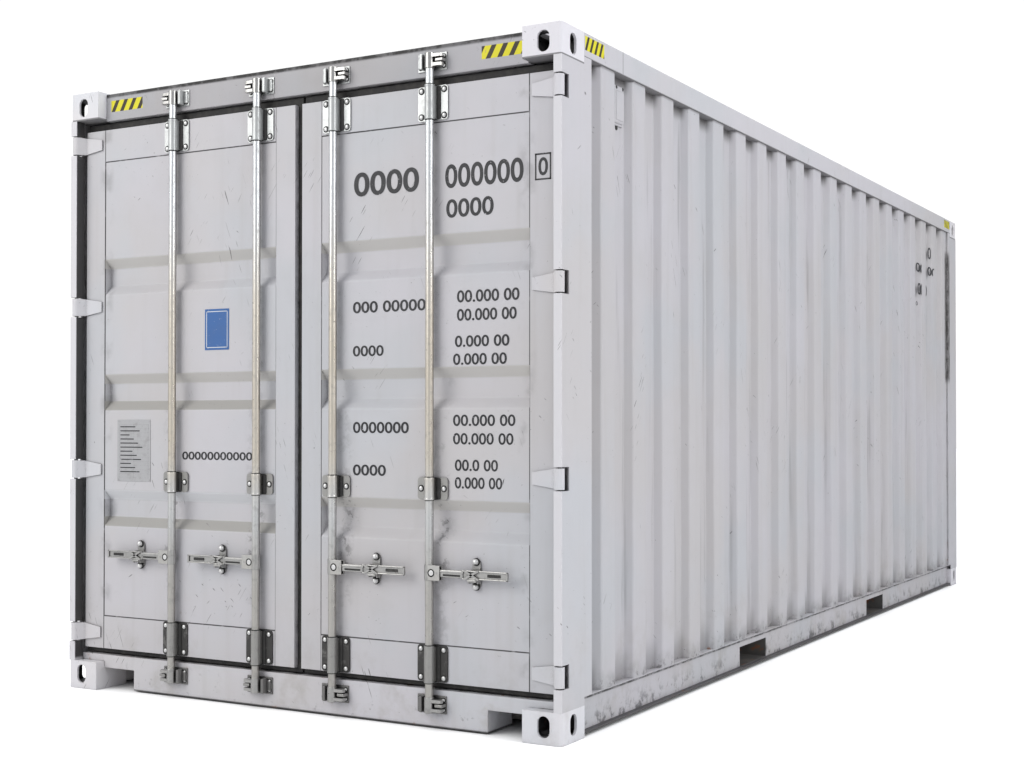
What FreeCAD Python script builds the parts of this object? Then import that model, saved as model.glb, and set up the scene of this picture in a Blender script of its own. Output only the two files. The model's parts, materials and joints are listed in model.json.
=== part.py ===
import FreeCAD, Part
import os
import re
import Sketcher

# A freight container on four corner castings, with two hinged door leaves at the -Y end.
# X runs across, Y along and Z up; the origin is the middle of the base, at the castings' undersides.
# Every size below is in millimetres and sits in the sheet; formulas in the sketches and blocks read it.

SIZES = [
    # overall
    ("length", 6058),
    ("width", 2438),
    ("height", 2591),
    # corner castings
    ("cast_long", 178),
    ("cast_wide", 162),
    ("cast_high", 118),
    ("cast_wall", 12),
    ("cast_plate", 28),
    ("cast_round", 14),
    ("face_hole_wide", 51),
    ("face_hole_high", 79),
    ("face_hole_up", 63),
    ("end_hole_in", 74.5),
    ("side_hole_in", 91),
    ("lock_hole_wide", 63.5),
    ("lock_hole_long", 124.5),
    ("lock_hole_in_side", 89.5),
    ("lock_hole_in_end", 102.5),
    # corner posts
    ("post_deep", 237),
    ("post_wall", 6),
    ("strip_wide", 33),
    ("strip_deep", 46),
    ("strip_wall", 5),
    ("stop_gap", 11),
    ("jamb_wide", 127),
    ("blind_post_wide", 100),
    ("blind_post_deep", 150),
    # rails
    ("rail_low", 12),
    ("rail_top", 150),
    ("rail_web_in", 29),
    ("rail_flange_in", 6),
    ("rail_shelf_lap", 5),
    ("rail_wall", 5),
    ("top_rail_high", 90),
    ("top_rail_wide", 60),
    ("top_rail_wall", 4),
    ("blind_rail_deep", 74),
    # walls
    ("wall_in", 8),
    ("wall_depth", 36),
    ("wall_sheet", 2),
    ("wall_ridge", 114),
    ("wall_slope", 20),
    ("wall_floor", 127),
    ("wall_lead", 155),
    ("wall_end_flat", 5),
    ("blind_in", 10),
    ("blind_depth", 46),
    ("blind_ridge", 110),
    ("blind_slope", 18),
    ("blind_floor", 104),
    ("blind_end_flat", 100),
    ("roof_in", 6),
    ("roof_depth", 20),
    ("roof_ridge", 91),
    ("roof_slope", 14),
    ("roof_floor", 91),
    ("roof_end_flat", 100),
    ("vent_wide", 92),
    ("vent_high", 180),
    ("vent_thick", 22),
    ("vent_drop", 112),
    ("vent_wall", 4),
    ("vent_cheek", 6),
    ("vent_mouth", 40),
    # door end frame
    ("face_in", 48),
    ("header_in", 123),
    ("header_top_in", 6),
    ("header_stop", 63),
    ("header_deep", 130),
    ("frame_wall", 5),
    ("sill_low", 5),
    ("sill_high", 146),
    ("sill_notch_high", 90),
    ("sill_notch_end", 884),
    ("sill_deep", 130),
    ("sill_step_lap", 10),
    # floor
    ("cross_low", 17),
    ("cross_high", 122),
    ("cross_wide", 45),
    ("cross_wall", 4),
    ("cross_pitch", 320),
    ("cross_clear_end", 60),
    ("board_thick", 28),
    ("board_gap", 2),
    ("board_clear", 1),
    ("board_rows", 5),
    ("fork_spread", 1031),
    ("fork_wide", 355),
    ("fork_low", 18),
    ("fork_high", 90),
    ("fork_wall", 6),
    ("fork_strap", 220),
    # door leaves
    ("leaf_inner", 17),
    ("leaf_outer_in", 47),
    ("leaf_low", 173),
    ("leaf_top_in", 161),
    ("leaf_deep", 50),
    ("leaf_wall", 4),
    ("stile_inner", 98),
    ("stile_outer", 111),
    ("rail_foot", 142),
    ("rail_head", 140),
    ("panel_set_back", 2),
    ("panel_sheet", 2),
    ("panel_depth", 36),
    ("panel_slope", 40),
    ("panel_floor", 76),
    ("panel_pitch", 502),
    ("panel_lead", 217),
    ("seal_front_in", 21),
    ("seal_thick", 25),
    ("seal_top", 32),
    ("seal_foot", 21),
    ("seal_side", 8),
    ("seal_centre", 26),
    # hinges
    ("pin_in_side", 18),
    ("pin_in_end", 18),
    ("pin_radius", 8),
    ("pin_fit", 0.1),
    ("knuckle_half", 38),
    ("knuckle_clear", 5),
    ("notch_deep", 58),
    ("lug_high", 20),
    ("blade_thick", 8),
    ("blade_reach", 126),
    ("blade_tip_half", 22),
    ("blade_bend", 37),
    ("blade_heel_in", 17),
    ("blade_heel_out", 6),
    ("blade_throat_in", 12),
    ("blade_throat_out", 8),
    ("blade_throat_back", 14),
    ("hinge_low", 243),
    ("hinge_top_in", 225),
    # locking bars
    ("bar_inner", 192),
    ("bar_outer", 644.5),
    ("bar_in_end", 20),
    ("bar_radius", 17),
    ("bar_wall", 3),
    ("bar_fit", 0.1),
    ("sleeve_wall", 3),
    ("cam_low", 92),
    ("cam_rise", 52),
    ("cam_half", 30),
    ("cam_wall", 2),
    ("prong_reach", 58),
    ("prong_half", 12),
    ("prong_thick", 12),
    ("tongue_thick", 12),
    ("tongue_clear", 5),
    ("tongue_in", 8),
    ("tongue_past", 2),
    ("keeper_thick", 5),
    ("keeper_inner", 68),
    ("keeper_outer", 62),
    ("keeper_half", 34),
    ("keeper_proud", 30),
    ("keeper_bolt_in", 12.3),
    ("keeper_lug_near", 30),
    ("keeper_lug_far", 44),
    ("bracket_half", 67),
    ("bracket_thick", 6),
    ("bolt_radius", 9),
    ("bolt_proud", 6),
    ("bolt_in", 16),
    ("top_bracket_in", 132),
    ("top_bracket_high", 131),
    ("mid_bracket_low", 862),
    ("mid_bracket_high", 84),
    ("foot_bracket_low", 176),
    ("foot_bracket_high", 138),
    # handles and their catches
    ("handle_up", 590),
    ("hub_half", 30),
    ("hub_reach", 56),
    ("hub_lug_in", 4),
    ("pivot_radius", 8),
    ("pivot_head", 2),
    ("eye_wall", 8),
    ("eye_clear", 1),
    ("lug_thick", 12),
    ("handle_thick", 10),
    ("handle_gap", 1),
    ("handle_reach", 350),
    ("handle_half", 12),
    ("grip_from", 150),
    ("grip_half", 17),
    ("catch_out", 194),
    ("catch_half", 28),
    ("catch_high_half", 62),
    ("catch_thick", 6),
    ("catch_shelf", 10),
    ("catch_seat", 0.3),
    ("catch_shelf_in", 8),
    ("catch_shelf_short", 2),
    # data plate
    ("plate_out", 985),
    ("plate_wide", 192),
    ("plate_low", 901),
    ("plate_high", 265),
    ("plate_thick", 1.5),
    # how far a cutting tool runs past the face that it cuts
    ("tool_past", 1),
]

DOC = FreeCAD.newDocument("ShippingContainer")
SHEET = DOC.addObject("Spreadsheet::Sheet", "Sizes")
for row, (alias, size) in enumerate(SIZES, 1):
    SHEET.set("A%d" % row, alias)
    SHEET.set("B%d" % row, str(size))
    SHEET.setAlias("B%d" % row, alias)
DOC.recompute()
ALIASES = {alias for alias, size in SIZES}
SUB_PARTS = []

# Planes that several sub-parts share, as formulas of the sheet.
FRONT = "-length / 2"
BACK = "length / 2"
SIDE = "width / 2"
FACE = "(-length / 2 + face_in)"
LEAF_EDGE = "(width / 2 - leaf_outer_in)"
LEAF_TOP = "(height - leaf_top_in)"
LEAF_BACK = "(-length / 2 + face_in + leaf_deep)"
PANEL_FACE = "(-length / 2 + face_in + panel_set_back)"
BAR_Y = "(-length / 2 + bar_in_end)"
PIN_X = "(width / 2 - pin_in_side)"
PIN_Y = "(-length / 2 + pin_in_end)"
TOP_RAIL_LOW = "(height - top_rail_high)"
HEADER_LOW = "(height - header_in)"
STOP_Y = "(-length / 2 + face_in + leaf_deep + stop_gap)"
WALL_INSIDE = "(width / 2 - wall_in - wall_depth - wall_sheet)"
SHELF_INSIDE = "(width / 2 - wall_in - wall_depth - wall_sheet - rail_shelf_lap)"
RAIL_INSIDE = "(width / 2 - rail_web_in - rail_wall)"
CAM_TOP = "(height - header_in + cam_rise)"
CAM_RADIUS = "(bar_radius + cam_wall)"
PIVOT_OUT = "(bar_radius + cam_wall + eye_clear + pivot_radius + eye_wall)"
TOP_BRACKET_LOW = "(height - leaf_top_in - top_bracket_in)"
HINGE_COUNT = 4
HINGES = ["(hinge_low + (height - hinge_top_in - hinge_low) * %d / %d)" % (number, HINGE_COUNT - 1)
          for number in range(HINGE_COUNT)]
SIDES = [("left", -1), ("right", 1)]
BARS = [("inner", "bar_inner"), ("outer", "bar_outer")]


def ref(formula):
    """The formula with each alias pointed at the sheet."""
    def point(word):
        name = word.group()
        return "Sizes." + name if name in ALIASES else name
    return re.sub(r"[a-z][a-z0-9_]*", point, str(formula))


def bind(item, prop, formula):
    item.setExpression(prop, ref(formula))


def place(item, x, y, z):
    for axis, formula in (("x", x), ("y", y), ("z", z)):
        bind(item, "Placement.Base." + axis, formula)


def span(side, low, high):
    """A low and high pair across X, mirrored for the left side."""
    if side > 0:
        return low, high
    return "-(%s)" % high, "-(%s)" % low


def box(name, x, y, z):
    """A block; x, y and z are each a low and a high formula."""
    block = DOC.addObject("Part::Box", name)
    for prop, (low, high) in (("Length", x), ("Width", y), ("Height", z)):
        bind(block, prop, "(%s) - (%s)" % (high, low))
    place(block, x[0], y[0], z[0])
    return block


TURNS = {
    "x": FreeCAD.Rotation(FreeCAD.Vector(0, 1, 0), 90),
    "y": FreeCAD.Rotation(FreeCAD.Vector(1, 0, 0), -90),
    "z": FreeCAD.Rotation(),
}


def cylinder(name, axis, start, radius, length):
    """A round bar that runs from its start along an axis."""
    bar = DOC.addObject("Part::Cylinder", name)
    bar.Placement = FreeCAD.Placement(FreeCAD.Vector(), TURNS[axis])
    bind(bar, "Radius", radius)
    bind(bar, "Height", length)
    place(bar, *start)
    return bar


def fuse(name, pieces):
    whole = DOC.addObject("Part::MultiFuse", name)
    whole.Shapes = pieces
    whole.Refine = True
    return whole


def cut(name, base, tools):
    rest = DOC.addObject("Part::Cut", name)
    rest.Base = base
    rest.Tool = tools[0] if len(tools) == 1 else fuse(name + "Tools", tools)
    rest.Refine = True
    return rest


def group(name, pieces):
    whole = DOC.addObject("Part::Compound", name)
    whole.Links = pieces
    return whole


def sub_part(label, item):
    """Gives a finished piece its own name and lists it."""
    item.Label = label
    SUB_PARTS.append(item)
    return item


def hollow(name, x, y, z, wall, along):
    """A square tube of one wall thickness, open at both ends along one axis."""
    outer = box(name + "Outer", x, y, z)
    inside = []
    for axis, (low, high) in zip("xyz", (x, y, z)):
        margin = "-tool_past" if axis == along else wall
        inside.append(("(%s) + (%s)" % (low, margin), "(%s) - (%s)" % (high, margin)))
    return cut(name, outer, [box(name + "Inner", *inside)])


def origin_item(body, role):
    return [item for item in body.Origin.OriginFeatures if item.Role == role][0]


def outline_pad(body, name, plane, points, length):
    """Pads a closed outline; its points are pairs of formulas in the body's own plane."""
    sketch = body.newObject("Sketcher::SketchObject", name + "Sketch")
    sketch.AttachmentSupport = (origin_item(body, plane), [""])
    sketch.MapMode = "FlatFace"
    count = len(points)
    for index in range(count):
        start = FreeCAD.Vector(index, index * index, 0)
        after = (index + 1) % count
        sketch.addGeometry(Part.LineSegment(start, FreeCAD.Vector(after, after * after, 0)), False)
    for index, (across, up) in enumerate(points):
        sketch.addConstraint(Sketcher.Constraint("Coincident", index, 2, (index + 1) % count, 1))
        for kind, formula in (("DistanceX", across), ("DistanceY", up)):
            number = sketch.addConstraint(Sketcher.Constraint(kind, -1, 1, index, 1, 1.0))
            sketch.setExpression("Constraints[%d]" % number, ref(formula))
    pad = body.newObject("PartDesign::Pad", name)
    pad.Profile = sketch
    bind(pad, "Length", length)
    sketch.Visibility = False
    return pad


def fold_points(ridge, slope, floor, depth, sheet):
    """One fold of pressed sheet from mid-ridge to mid-ridge, as (along, out) formulas."""
    first = "(%s) / 2" % ridge
    down = "((%s) / 2 + %s)" % (ridge, slope)
    rise = "((%s) / 2 + %s + %s)" % (ridge, slope, floor)
    last = "((%s) / 2 + 2 * %s + %s)" % (ridge, slope, floor)
    end = "((%s) + 2 * %s + %s)" % (ridge, slope, floor)
    lean = bend_lean(slope, depth, sheet)
    under = "-(%s)" % sheet
    deep = "-(%s)" % depth
    deepest = "-(%s + %s)" % (depth, sheet)
    return [
        ("0", "0"), (first, "0"), (down, deep), (rise, deep), (last, "0"), (end, "0"),
        (end, under), (last + " + " + lean, under), (rise + " + " + lean, deepest),
        (down + " - " + lean, deepest), (first + " - " + lean, under), ("0", under),
    ]


def strip_points(low, high, sheet):
    """A flat run of sheet at ridge level."""
    return [(low, "0"), (high, "0"), (high, "-" + sheet), (low, "-" + sheet)]


def bend_lean(slope, depth, sheet):
    """How far the inner corner of a bend lies along the sheet from its outer corner."""
    return "(%s * (sqrt(%s ^ 2 + %s ^ 2) - %s) / %s)" % (sheet, slope, depth, slope, depth)


def end_fold_points(trough_end, foot, brow, ridge_end, lean, depth, sheet):
    """Sheet at trough level from one end to the slope's foot, and at ridge level past its brow."""
    under = "-(%s)" % sheet
    deep = "-(%s)" % depth
    deepest = "-(%s + %s)" % (depth, sheet)
    return [
        (trough_end, deep), (foot, deep), (brow, "0"), (ridge_end, "0"),
        (ridge_end, under), ("%s %s" % (brow, lean), under), ("%s %s" % (foot, lean), deepest),
        (trough_end, deepest),
    ]


def folded_sheet(name, plane, turn, axis, fold, pitch, folds, ends, length):
    """A corrugated sheet: one fold repeated along an axis, and a run at each end."""
    body = DOC.addObject("PartDesign::Body", name)
    first = outline_pad(body, name + "Fold", plane, [turn(*point) for point in fold], length)
    DOC.recompute()
    pattern = body.newObject("PartDesign::LinearPattern", name + "Folds")
    pattern.Originals = [first]
    pattern.Direction = (origin_item(body, axis), [""])
    bind(pattern, "Length", "(%s) * (%s - 1)" % (pitch, folds))
    bind(pattern, "Occurrences", folds)
    body.Tip = pattern
    DOC.recompute()
    for number, points in enumerate(ends):
        outline_pad(body, "%sEnd%d" % (name, number), plane, [turn(*point) for point in points], length)
        DOC.recompute()
    return body


def stadium(name, axis, centre, half_wide, half_long, long_axis, low, high):
    """A cutting tool with round ends, through a face whose normal is the axis."""
    across = [a for a in "xyz" if a not in (axis, long_axis)][0]
    flat = "(%s - %s)" % (half_long, half_wide)
    spans = {axis: (low, high)}
    spans[long_axis] = ("%s - %s" % (centre[long_axis], flat), "%s + %s" % (centre[long_axis], flat))
    spans[across] = ("%s - %s" % (centre[across], half_wide), "%s + %s" % (centre[across], half_wide))
    pieces = [box(name + "Mid", spans["x"], spans["y"], spans["z"])]
    for number in (0, 1):
        start = {axis: low, long_axis: spans[long_axis][number], across: centre[across]}
        at = (start["x"], start["y"], start["z"])
        pieces.append(cylinder(name + "End", axis, at, half_wide, "(%s) - (%s)" % (high, low)))
    return fuse(name, pieces)


def casting(across, along, up):
    """A hollow corner casting; the three signs say which corner of the container."""
    name = "Casting"
    x = span(across, SIDE + " - cast_wide", SIDE)
    y = span(along, BACK + " - cast_long", BACK)
    z = ("height - cast_high", "height") if up > 0 else ("0", "cast_high")
    block = box(name + "Block", x, y, z)
    DOC.recompute()
    rounded = DOC.addObject("Part::Fillet", name + "Round")
    rounded.Base = block
    corner_x = SHEET.width / 2 * across
    corner_y = SHEET.length / 2 * along
    edges = []
    for number, edge in enumerate(block.Shape.Edges, 1):
        ends = [vertex.Point for vertex in edge.Vertexes]
        if all(abs(p.x - corner_x) < 0.01 and abs(p.y - corner_y) < 0.01 for p in ends):
            edges.append((number, SHEET.cast_round, SHEET.cast_round))
    rounded.Edges = edges
    room_z = ("height - cast_high + cast_wall", "height - cast_plate")
    if up < 0:
        room_z = ("cast_plate", "cast_high - cast_wall")
    room = box(
        name + "Room",
        span(across, SIDE + " - cast_wide + cast_wall", SIDE + " - cast_wall"),
        span(along, BACK + " - cast_long + cast_wall", BACK + " - cast_wall"),
        room_z,
    )
    sign_x = "" if across > 0 else "-"
    sign_y = "" if along > 0 else "-"
    hole_z = "height - face_hole_up" if up > 0 else "face_hole_up"
    reach = "cast_wall + tool_past"
    end_hole = stadium(
        name + "EndHole", "y",
        {"x": "%s(%s - end_hole_in)" % (sign_x, SIDE), "z": hole_z},
        "face_hole_wide / 2", "face_hole_high / 2", "z",
        *span(along, "%s - (%s)" % (BACK, reach), BACK + " + tool_past"))
    side_hole = stadium(
        name + "SideHole", "x",
        {"y": "%s(%s - side_hole_in)" % (sign_y, BACK), "z": hole_z},
        "face_hole_wide / 2", "face_hole_high / 2", "z",
        *span(across, "%s - (%s)" % (SIDE, reach), SIDE + " + tool_past"))
    lock_z = ("height - cast_plate - tool_past", "height + tool_past")
    if up < 0:
        lock_z = ("-tool_past", "cast_plate + tool_past")
    lock_hole = stadium(
        name + "LockHole", "z",
        {"x": "%s(%s - lock_hole_in_side)" % (sign_x, SIDE), "y": "%s(%s - lock_hole_in_end)" % (sign_y, BACK)},
        "lock_hole_wide / 2", "lock_hole_long / 2", "y", *lock_z)
    return cut(name, rounded, [room, end_hole, side_hole, lock_hole])


def castings():
    for level, up in (("bottom", -1), ("top", 1)):
        corners = [casting(across, along, up) for along in (-1, 1) for across in (-1, 1)]
        sub_part("corner_castings_" + level, group("Castings", corners))


def door_post(name, side):
    """The pressed strip, side plate and jamb channel at one edge of the doorway, notched at each hinge."""
    z = ("cast_high", "height - cast_high")
    strip = hollow("Strip", span(side, SIDE + " - strip_wide", SIDE),
                   (FRONT, FRONT + " + strip_deep"), z, "strip_wall", "z")
    plate = box("PostPlate", span(side, SIDE + " - post_wall", SIDE),
                (FRONT + " + strip_deep", FRONT + " + cast_long"), z)
    rear_z = ("rail_top", TOP_RAIL_LOW)
    rear = box("PostRear", span(side, SIDE + " - post_wall", SIDE),
               (FRONT + " + cast_long", FRONT + " + post_deep"), rear_z)
    lip = box("PostLip", span(side, WALL_INSIDE, SIDE + " - post_wall"),
              (FRONT + " + post_deep - post_wall", FRONT + " + post_deep"), rear_z)
    jamb = hollow("Jamb", span(side, SIDE + " - jamb_wide", SIDE + " - post_wall"),
                  (STOP_Y, FRONT + " + cast_long"), z, "post_wall", "z")
    whole = fuse("DoorPostWhole", [strip, plate, rear, lip, jamb])
    notches = []
    for hinge in HINGES:
        reach = "(knuckle_half + knuckle_clear)"
        notches.append(box("Notch", span(side, SIDE + " - strip_wide - tool_past", SIDE + " + tool_past"),
                           (FRONT + " - tool_past", FRONT + " + notch_deep"),
                           ("%s - %s" % (hinge, reach), "%s + %s" % (hinge, reach))))
    sub_part("door_post_" + name, cut("DoorPost", whole, notches))


def blind_post(name, side):
    """A box post at the closed end, with a side plate that the wall meets."""
    tube = hollow("BlindTube", span(side, SIDE + " - blind_post_wide", SIDE),
                  (BACK + " - blind_post_deep", BACK), ("cast_high", "height - cast_high"), "post_wall", "z")
    plate_z = ("cast_high", "height - cast_high")
    plate = box("BlindPlate", span(side, SIDE + " - post_wall", SIDE),
                (BACK + " - cast_long", BACK + " - blind_post_deep"), plate_z)
    rear_z = ("rail_top", TOP_RAIL_LOW)
    rear = box("BlindRear", span(side, SIDE + " - post_wall", SIDE),
               (BACK + " - post_deep", BACK + " - cast_long"), rear_z)
    lip = box("BlindLip", span(side, WALL_INSIDE, SIDE + " - post_wall"),
              (BACK + " - post_deep", BACK + " - post_deep + post_wall"), rear_z)
    sub_part("blind_post_" + name, fuse("BlindPost", [tube, plate, rear, lip]))


def door_header():
    """The box beam over the doors, with a stop behind the leaves."""
    x = ("-(%s - cast_wide)" % SIDE, SIDE + " - cast_wide")
    top = "height - header_top_in"
    beam = hollow("HeaderBeam", x, (FACE, FACE + " + header_deep"), (HEADER_LOW, top), "frame_wall", "x")
    stop_x = ("-(%s - jamb_wide)" % SIDE, SIDE + " - jamb_wide")
    stop = box("HeaderStop", stop_x,
               (STOP_Y, STOP_Y + " + frame_wall"),
               (HEADER_LOW + " - header_stop", HEADER_LOW))
    sub_part("door_header", fuse("Header", [beam, stop]))


def door_sill():
    """The channel under the doors: its ends are cut up clear of the castings, and its top runs to the posts."""
    x = ("-(%s - cast_wide)" % SIDE, SIDE + " - cast_wide")
    back = FACE + " + sill_deep"
    web = box("SillWeb", x, (FACE, FACE + " + frame_wall"), ("sill_low", "sill_high"))
    shelf = box("SillShelf", x, (FACE, back), ("sill_high - frame_wall", "sill_high"))
    foot = box("SillFoot", x, (FACE, FACE + " + sill_deep / 2"), ("sill_low", "sill_low + frame_wall"))
    ends = []
    notches = []
    for side in (-1, 1):
        ends.append(box("SillEnd", span(side, SIDE + " - cast_wide", SIDE + " - strip_wide"),
                        (FACE, STOP_Y), ("cast_high", "sill_high")))
        notches.append(box("SillNotch", span(side, "sill_notch_end", SIDE + " - cast_wide + tool_past"),
                           (FACE + " - tool_past", back + " + tool_past"),
                           ("sill_low - tool_past", "sill_notch_high")))
    step = box("SillStep", x, (back + " - frame_wall", back),
               ("sill_high - sill_step_lap", "cross_low + cross_high + board_thick"))
    body = cut("SillBody", fuse("SillWhole", [web, shelf, foot, step]), notches)
    sub_part("door_sill", fuse("Sill", [body] + ends))


def blind_rails():
    x = ("-(%s - cast_wide)" % SIDE, SIDE + " - cast_wide")
    y = (BACK + " - blind_in - blind_rail_deep", BACK + " - blind_in")
    low = hollow("BlindLow", x, y, ("rail_low", "rail_top"), "frame_wall", "x")
    sub_part("blind_bottom_rail", low)
    high = hollow("BlindHigh", x, y, (TOP_RAIL_LOW, "height - header_top_in"), "frame_wall", "x")
    sub_part("blind_top_rail", high)


def side_rails(name, side):
    """Top and bottom rails of one long side; the bottom one is a web with a shelf and an outward foot."""
    y = (FRONT + " + cast_long", BACK + " - cast_long")
    top = hollow("TopRail", span(side, SIDE + " - top_rail_wide", SIDE), y,
                 (TOP_RAIL_LOW, "height"), "top_rail_wall", "y")
    sub_part("top_side_rail_" + name, top)
    web = box("RailWeb", span(side, RAIL_INSIDE, SIDE + " - rail_web_in"), y, ("rail_low", "rail_top"))
    shelf = box("RailShelf", span(side, SHELF_INSIDE, SIDE + " - rail_flange_in"), y,
                ("rail_top - rail_wall", "rail_top"))
    foot = box("RailFoot", span(side, RAIL_INSIDE, SIDE + " - rail_flange_in"), y,
               ("rail_low", "rail_low + rail_wall"))
    pockets = []
    for end in ("-", ""):
        centre = "%sfork_spread" % end
        pockets.append(box("PocketCut",
                           span(side, RAIL_INSIDE + " - tool_past", SIDE + " - rail_web_in + tool_past"),
                           (centre + " - fork_wide / 2", centre + " + fork_wide / 2"),
                           ("fork_low", "fork_low + fork_high")))
    sub_part("bottom_side_rail_" + name, cut("BottomRail", fuse("RailWhole", [web, shelf, foot]), pockets))


def side_wall(name, side):
    """Upright folds between the posts; the first and last folds are part ones."""
    sign = "" if side > 0 else "-"

    def turn(along, out):
        return "%s(%s)" % (sign, out), along

    pitch = "(wall_ridge + 2 * wall_slope + wall_floor)"
    fold = fold_points("wall_ridge", "wall_slope", "wall_floor", "wall_depth", "wall_sheet")
    reach = "(length - 2 * post_deep - wall_lead)"
    folds = "floor((%s - wall_ridge / 2 - wall_slope - wall_end_flat) / %s)" % (reach, pitch)
    lean = bend_lean("wall_slope", "wall_depth", "wall_sheet")
    lead = end_fold_points("-wall_lead", "(-wall_ridge / 2 - wall_slope)", "(-wall_ridge / 2)", "0",
                           "+ " + lean, "wall_depth", "wall_sheet")
    brow = "(%s * %s + wall_ridge / 2)" % (pitch, folds)
    tail = end_fold_points(reach, "(%s + wall_slope)" % brow, brow, "%s * %s" % (pitch, folds),
                           "- " + lean, "wall_depth", "wall_sheet")
    body = folded_sheet("SideWall", "XY_Plane", turn, "Y_Axis", fold, pitch, folds, [lead, tail],
                        TOP_RAIL_LOW + " - rail_top")
    place(body, "%s(%s - wall_in)" % (sign, SIDE), FRONT + " + post_deep + wall_lead", "rail_top")
    sub_part("side_wall_" + name, body)


def blind_wall():
    def turn(along, out):
        return along, out

    pitch = "(blind_ridge + 2 * blind_slope + blind_floor)"
    fold = fold_points("blind_ridge", "blind_slope", "blind_floor", "blind_depth", "wall_sheet")
    room = "(width - 2 * blind_post_wide)"
    folds = "floor((%s - 2 * blind_end_flat) / %s)" % (room, pitch)
    run = "(%s * %s)" % (pitch, folds)
    flat = "((%s - %s) / 2)" % (room, run)
    ends = [strip_points("-" + flat, "0", "wall_sheet"),
            strip_points(run, "%s + %s" % (run, flat), "wall_sheet")]
    body = folded_sheet("BlindWall", "XY_Plane", turn, "X_Axis", fold, pitch, folds, ends,
                        TOP_RAIL_LOW + " - rail_top")
    place(body, "-%s / 2" % run, BACK + " - blind_in", "rail_top")
    corners = []
    for side in (-1, 1):
        corners.append(box("BlindCorner", span(side, SIDE + " - cast_wide", SIDE),
                           (BACK + " - cast_long", BACK), ("height - cast_high", "height")))
    sub_part("blind_end_wall", cut("BlindWallCut", body, corners))


def roof():
    def turn(along, out):
        return along, out

    pitch = "(roof_ridge + 2 * roof_slope + roof_floor)"
    fold = fold_points("roof_ridge", "roof_slope", "roof_floor", "roof_depth", "wall_sheet")
    room = "(length - 2 * cast_long)"
    folds = "floor((%s - 2 * roof_end_flat) / %s)" % (room, pitch)
    run = "(%s * %s)" % (pitch, folds)
    flat = "((%s - %s) / 2)" % (room, run)
    ends = [strip_points("-" + flat, "0", "wall_sheet"),
            strip_points(run, "%s + %s" % (run, flat), "wall_sheet")]
    body = folded_sheet("Roof", "YZ_Plane", turn, "Y_Axis", fold, pitch, folds, ends,
                        "width - 2 * top_rail_wide")
    place(body, "-(%s - top_rail_wide)" % SIDE, "-%s / 2" % run, "height - roof_in")
    plate = box("RoofEndPlate", ("-(%s - cast_wide)" % SIDE, SIDE + " - cast_wide"),
                (BACK + " - cast_long", BACK + " - blind_in - blind_rail_deep"),
                ("height - roof_in - wall_sheet", "height - roof_in"))
    sub_part("roof_sheet", group("RoofWhole", [body, plate]))


def vents():
    """Small louvred covers on the trough floors, one near each end on opposite sides."""
    covers = []
    half_fold = "(wall_ridge / 2 + wall_slope + wall_floor / 2)"
    first = "(%s + post_deep + wall_lead + %s)" % (FRONT, half_fold)
    pitch = "(2 * %s)" % half_fold
    reach = "(length - 2 * post_deep - wall_lead)"
    folds = "floor((%s - wall_ridge / 2 - wall_slope - wall_end_flat) / %s)" % (reach, pitch)
    last = "(%s + %s * (%s - 1))" % (first, pitch, folds)
    for side, y in ((1, first), (-1, last)):
        low = TOP_RAIL_LOW + " - vent_drop - vent_high / 2"
        inner = SIDE + " - wall_in - wall_depth"
        cover = box("VentCover", span(side, inner, inner + " + vent_thick"),
                    (y + " - vent_wide / 2", y + " + vent_wide / 2"), (low, low + " + vent_high"))
        mouth = box("VentMouth", span(side, inner + " + vent_wall", inner + " + vent_thick - vent_wall"),
                    (y + " - vent_wide / 2 + vent_cheek", y + " + vent_wide / 2 - vent_cheek"),
                    (low + " - tool_past", low + " + vent_mouth"))
        covers.append(cut("Vent", cover, [mouth]))
    sub_part("wall_vents", group("Vents", covers))


def crossmembers():
    """Channels under the floor, evenly spaced and left out where the fork pockets cross."""
    members = []
    room = SHEET.length / 2 - SHEET.cast_long - SHEET.cross_clear_end
    reach = int(room // SHEET.cross_pitch)
    for offset in range(-reach, reach + 1):
        y = "(%d * cross_pitch)" % offset
        if abs(abs(offset) * SHEET.cross_pitch - SHEET.fork_spread) < SHEET.fork_wide / 2 + SHEET.cross_wide:
            continue
        x = ("-" + RAIL_INSIDE, RAIL_INSIDE)
        z = ("cross_low", "cross_low + cross_high")
        web = box("CrossWeb", x, (y, y + " + cross_wall"), z)
        foot = box("CrossFoot", x, (y, y + " + cross_wide"), ("cross_low", "cross_low + cross_wall"))
        head = box("CrossHead", x, (y, y + " + cross_wide"),
                   ("cross_low + cross_high - cross_wall", "cross_low + cross_high"))
        members.append(fuse("Crossmember", [web, foot, head]))
    sub_part("crossmembers", group("Crossmembers", members))


def fork_pockets():
    """Two inverted channels right across the base, with straps under their mouths."""
    pockets = []
    for end in ("-", ""):
        centre = "%sfork_spread" % end
        low = centre + " - fork_wide / 2"
        high = centre + " + fork_wide / 2"
        x = ("-" + RAIL_INSIDE, RAIL_INSIDE)
        top = "fork_low + fork_high"
        pieces = [
            box("ForkRoof", x, (low + " - fork_wall", high + " + fork_wall"), (top, top + " + fork_wall")),
            box("ForkNear", x, (low + " - fork_wall", low), ("rail_low", top)),
            box("ForkFar", x, (high, high + " + fork_wall"), ("rail_low", top)),
        ]
        for side in (-1, 1):
            pieces.append(box("ForkStrap", span(side, RAIL_INSIDE + " - fork_strap", RAIL_INSIDE),
                              (low, high), ("rail_low", "fork_low")))
        pockets.append(fuse("ForkPocket", pieces))
    sub_part("fork_pockets", group("ForkPockets", pockets))


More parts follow.
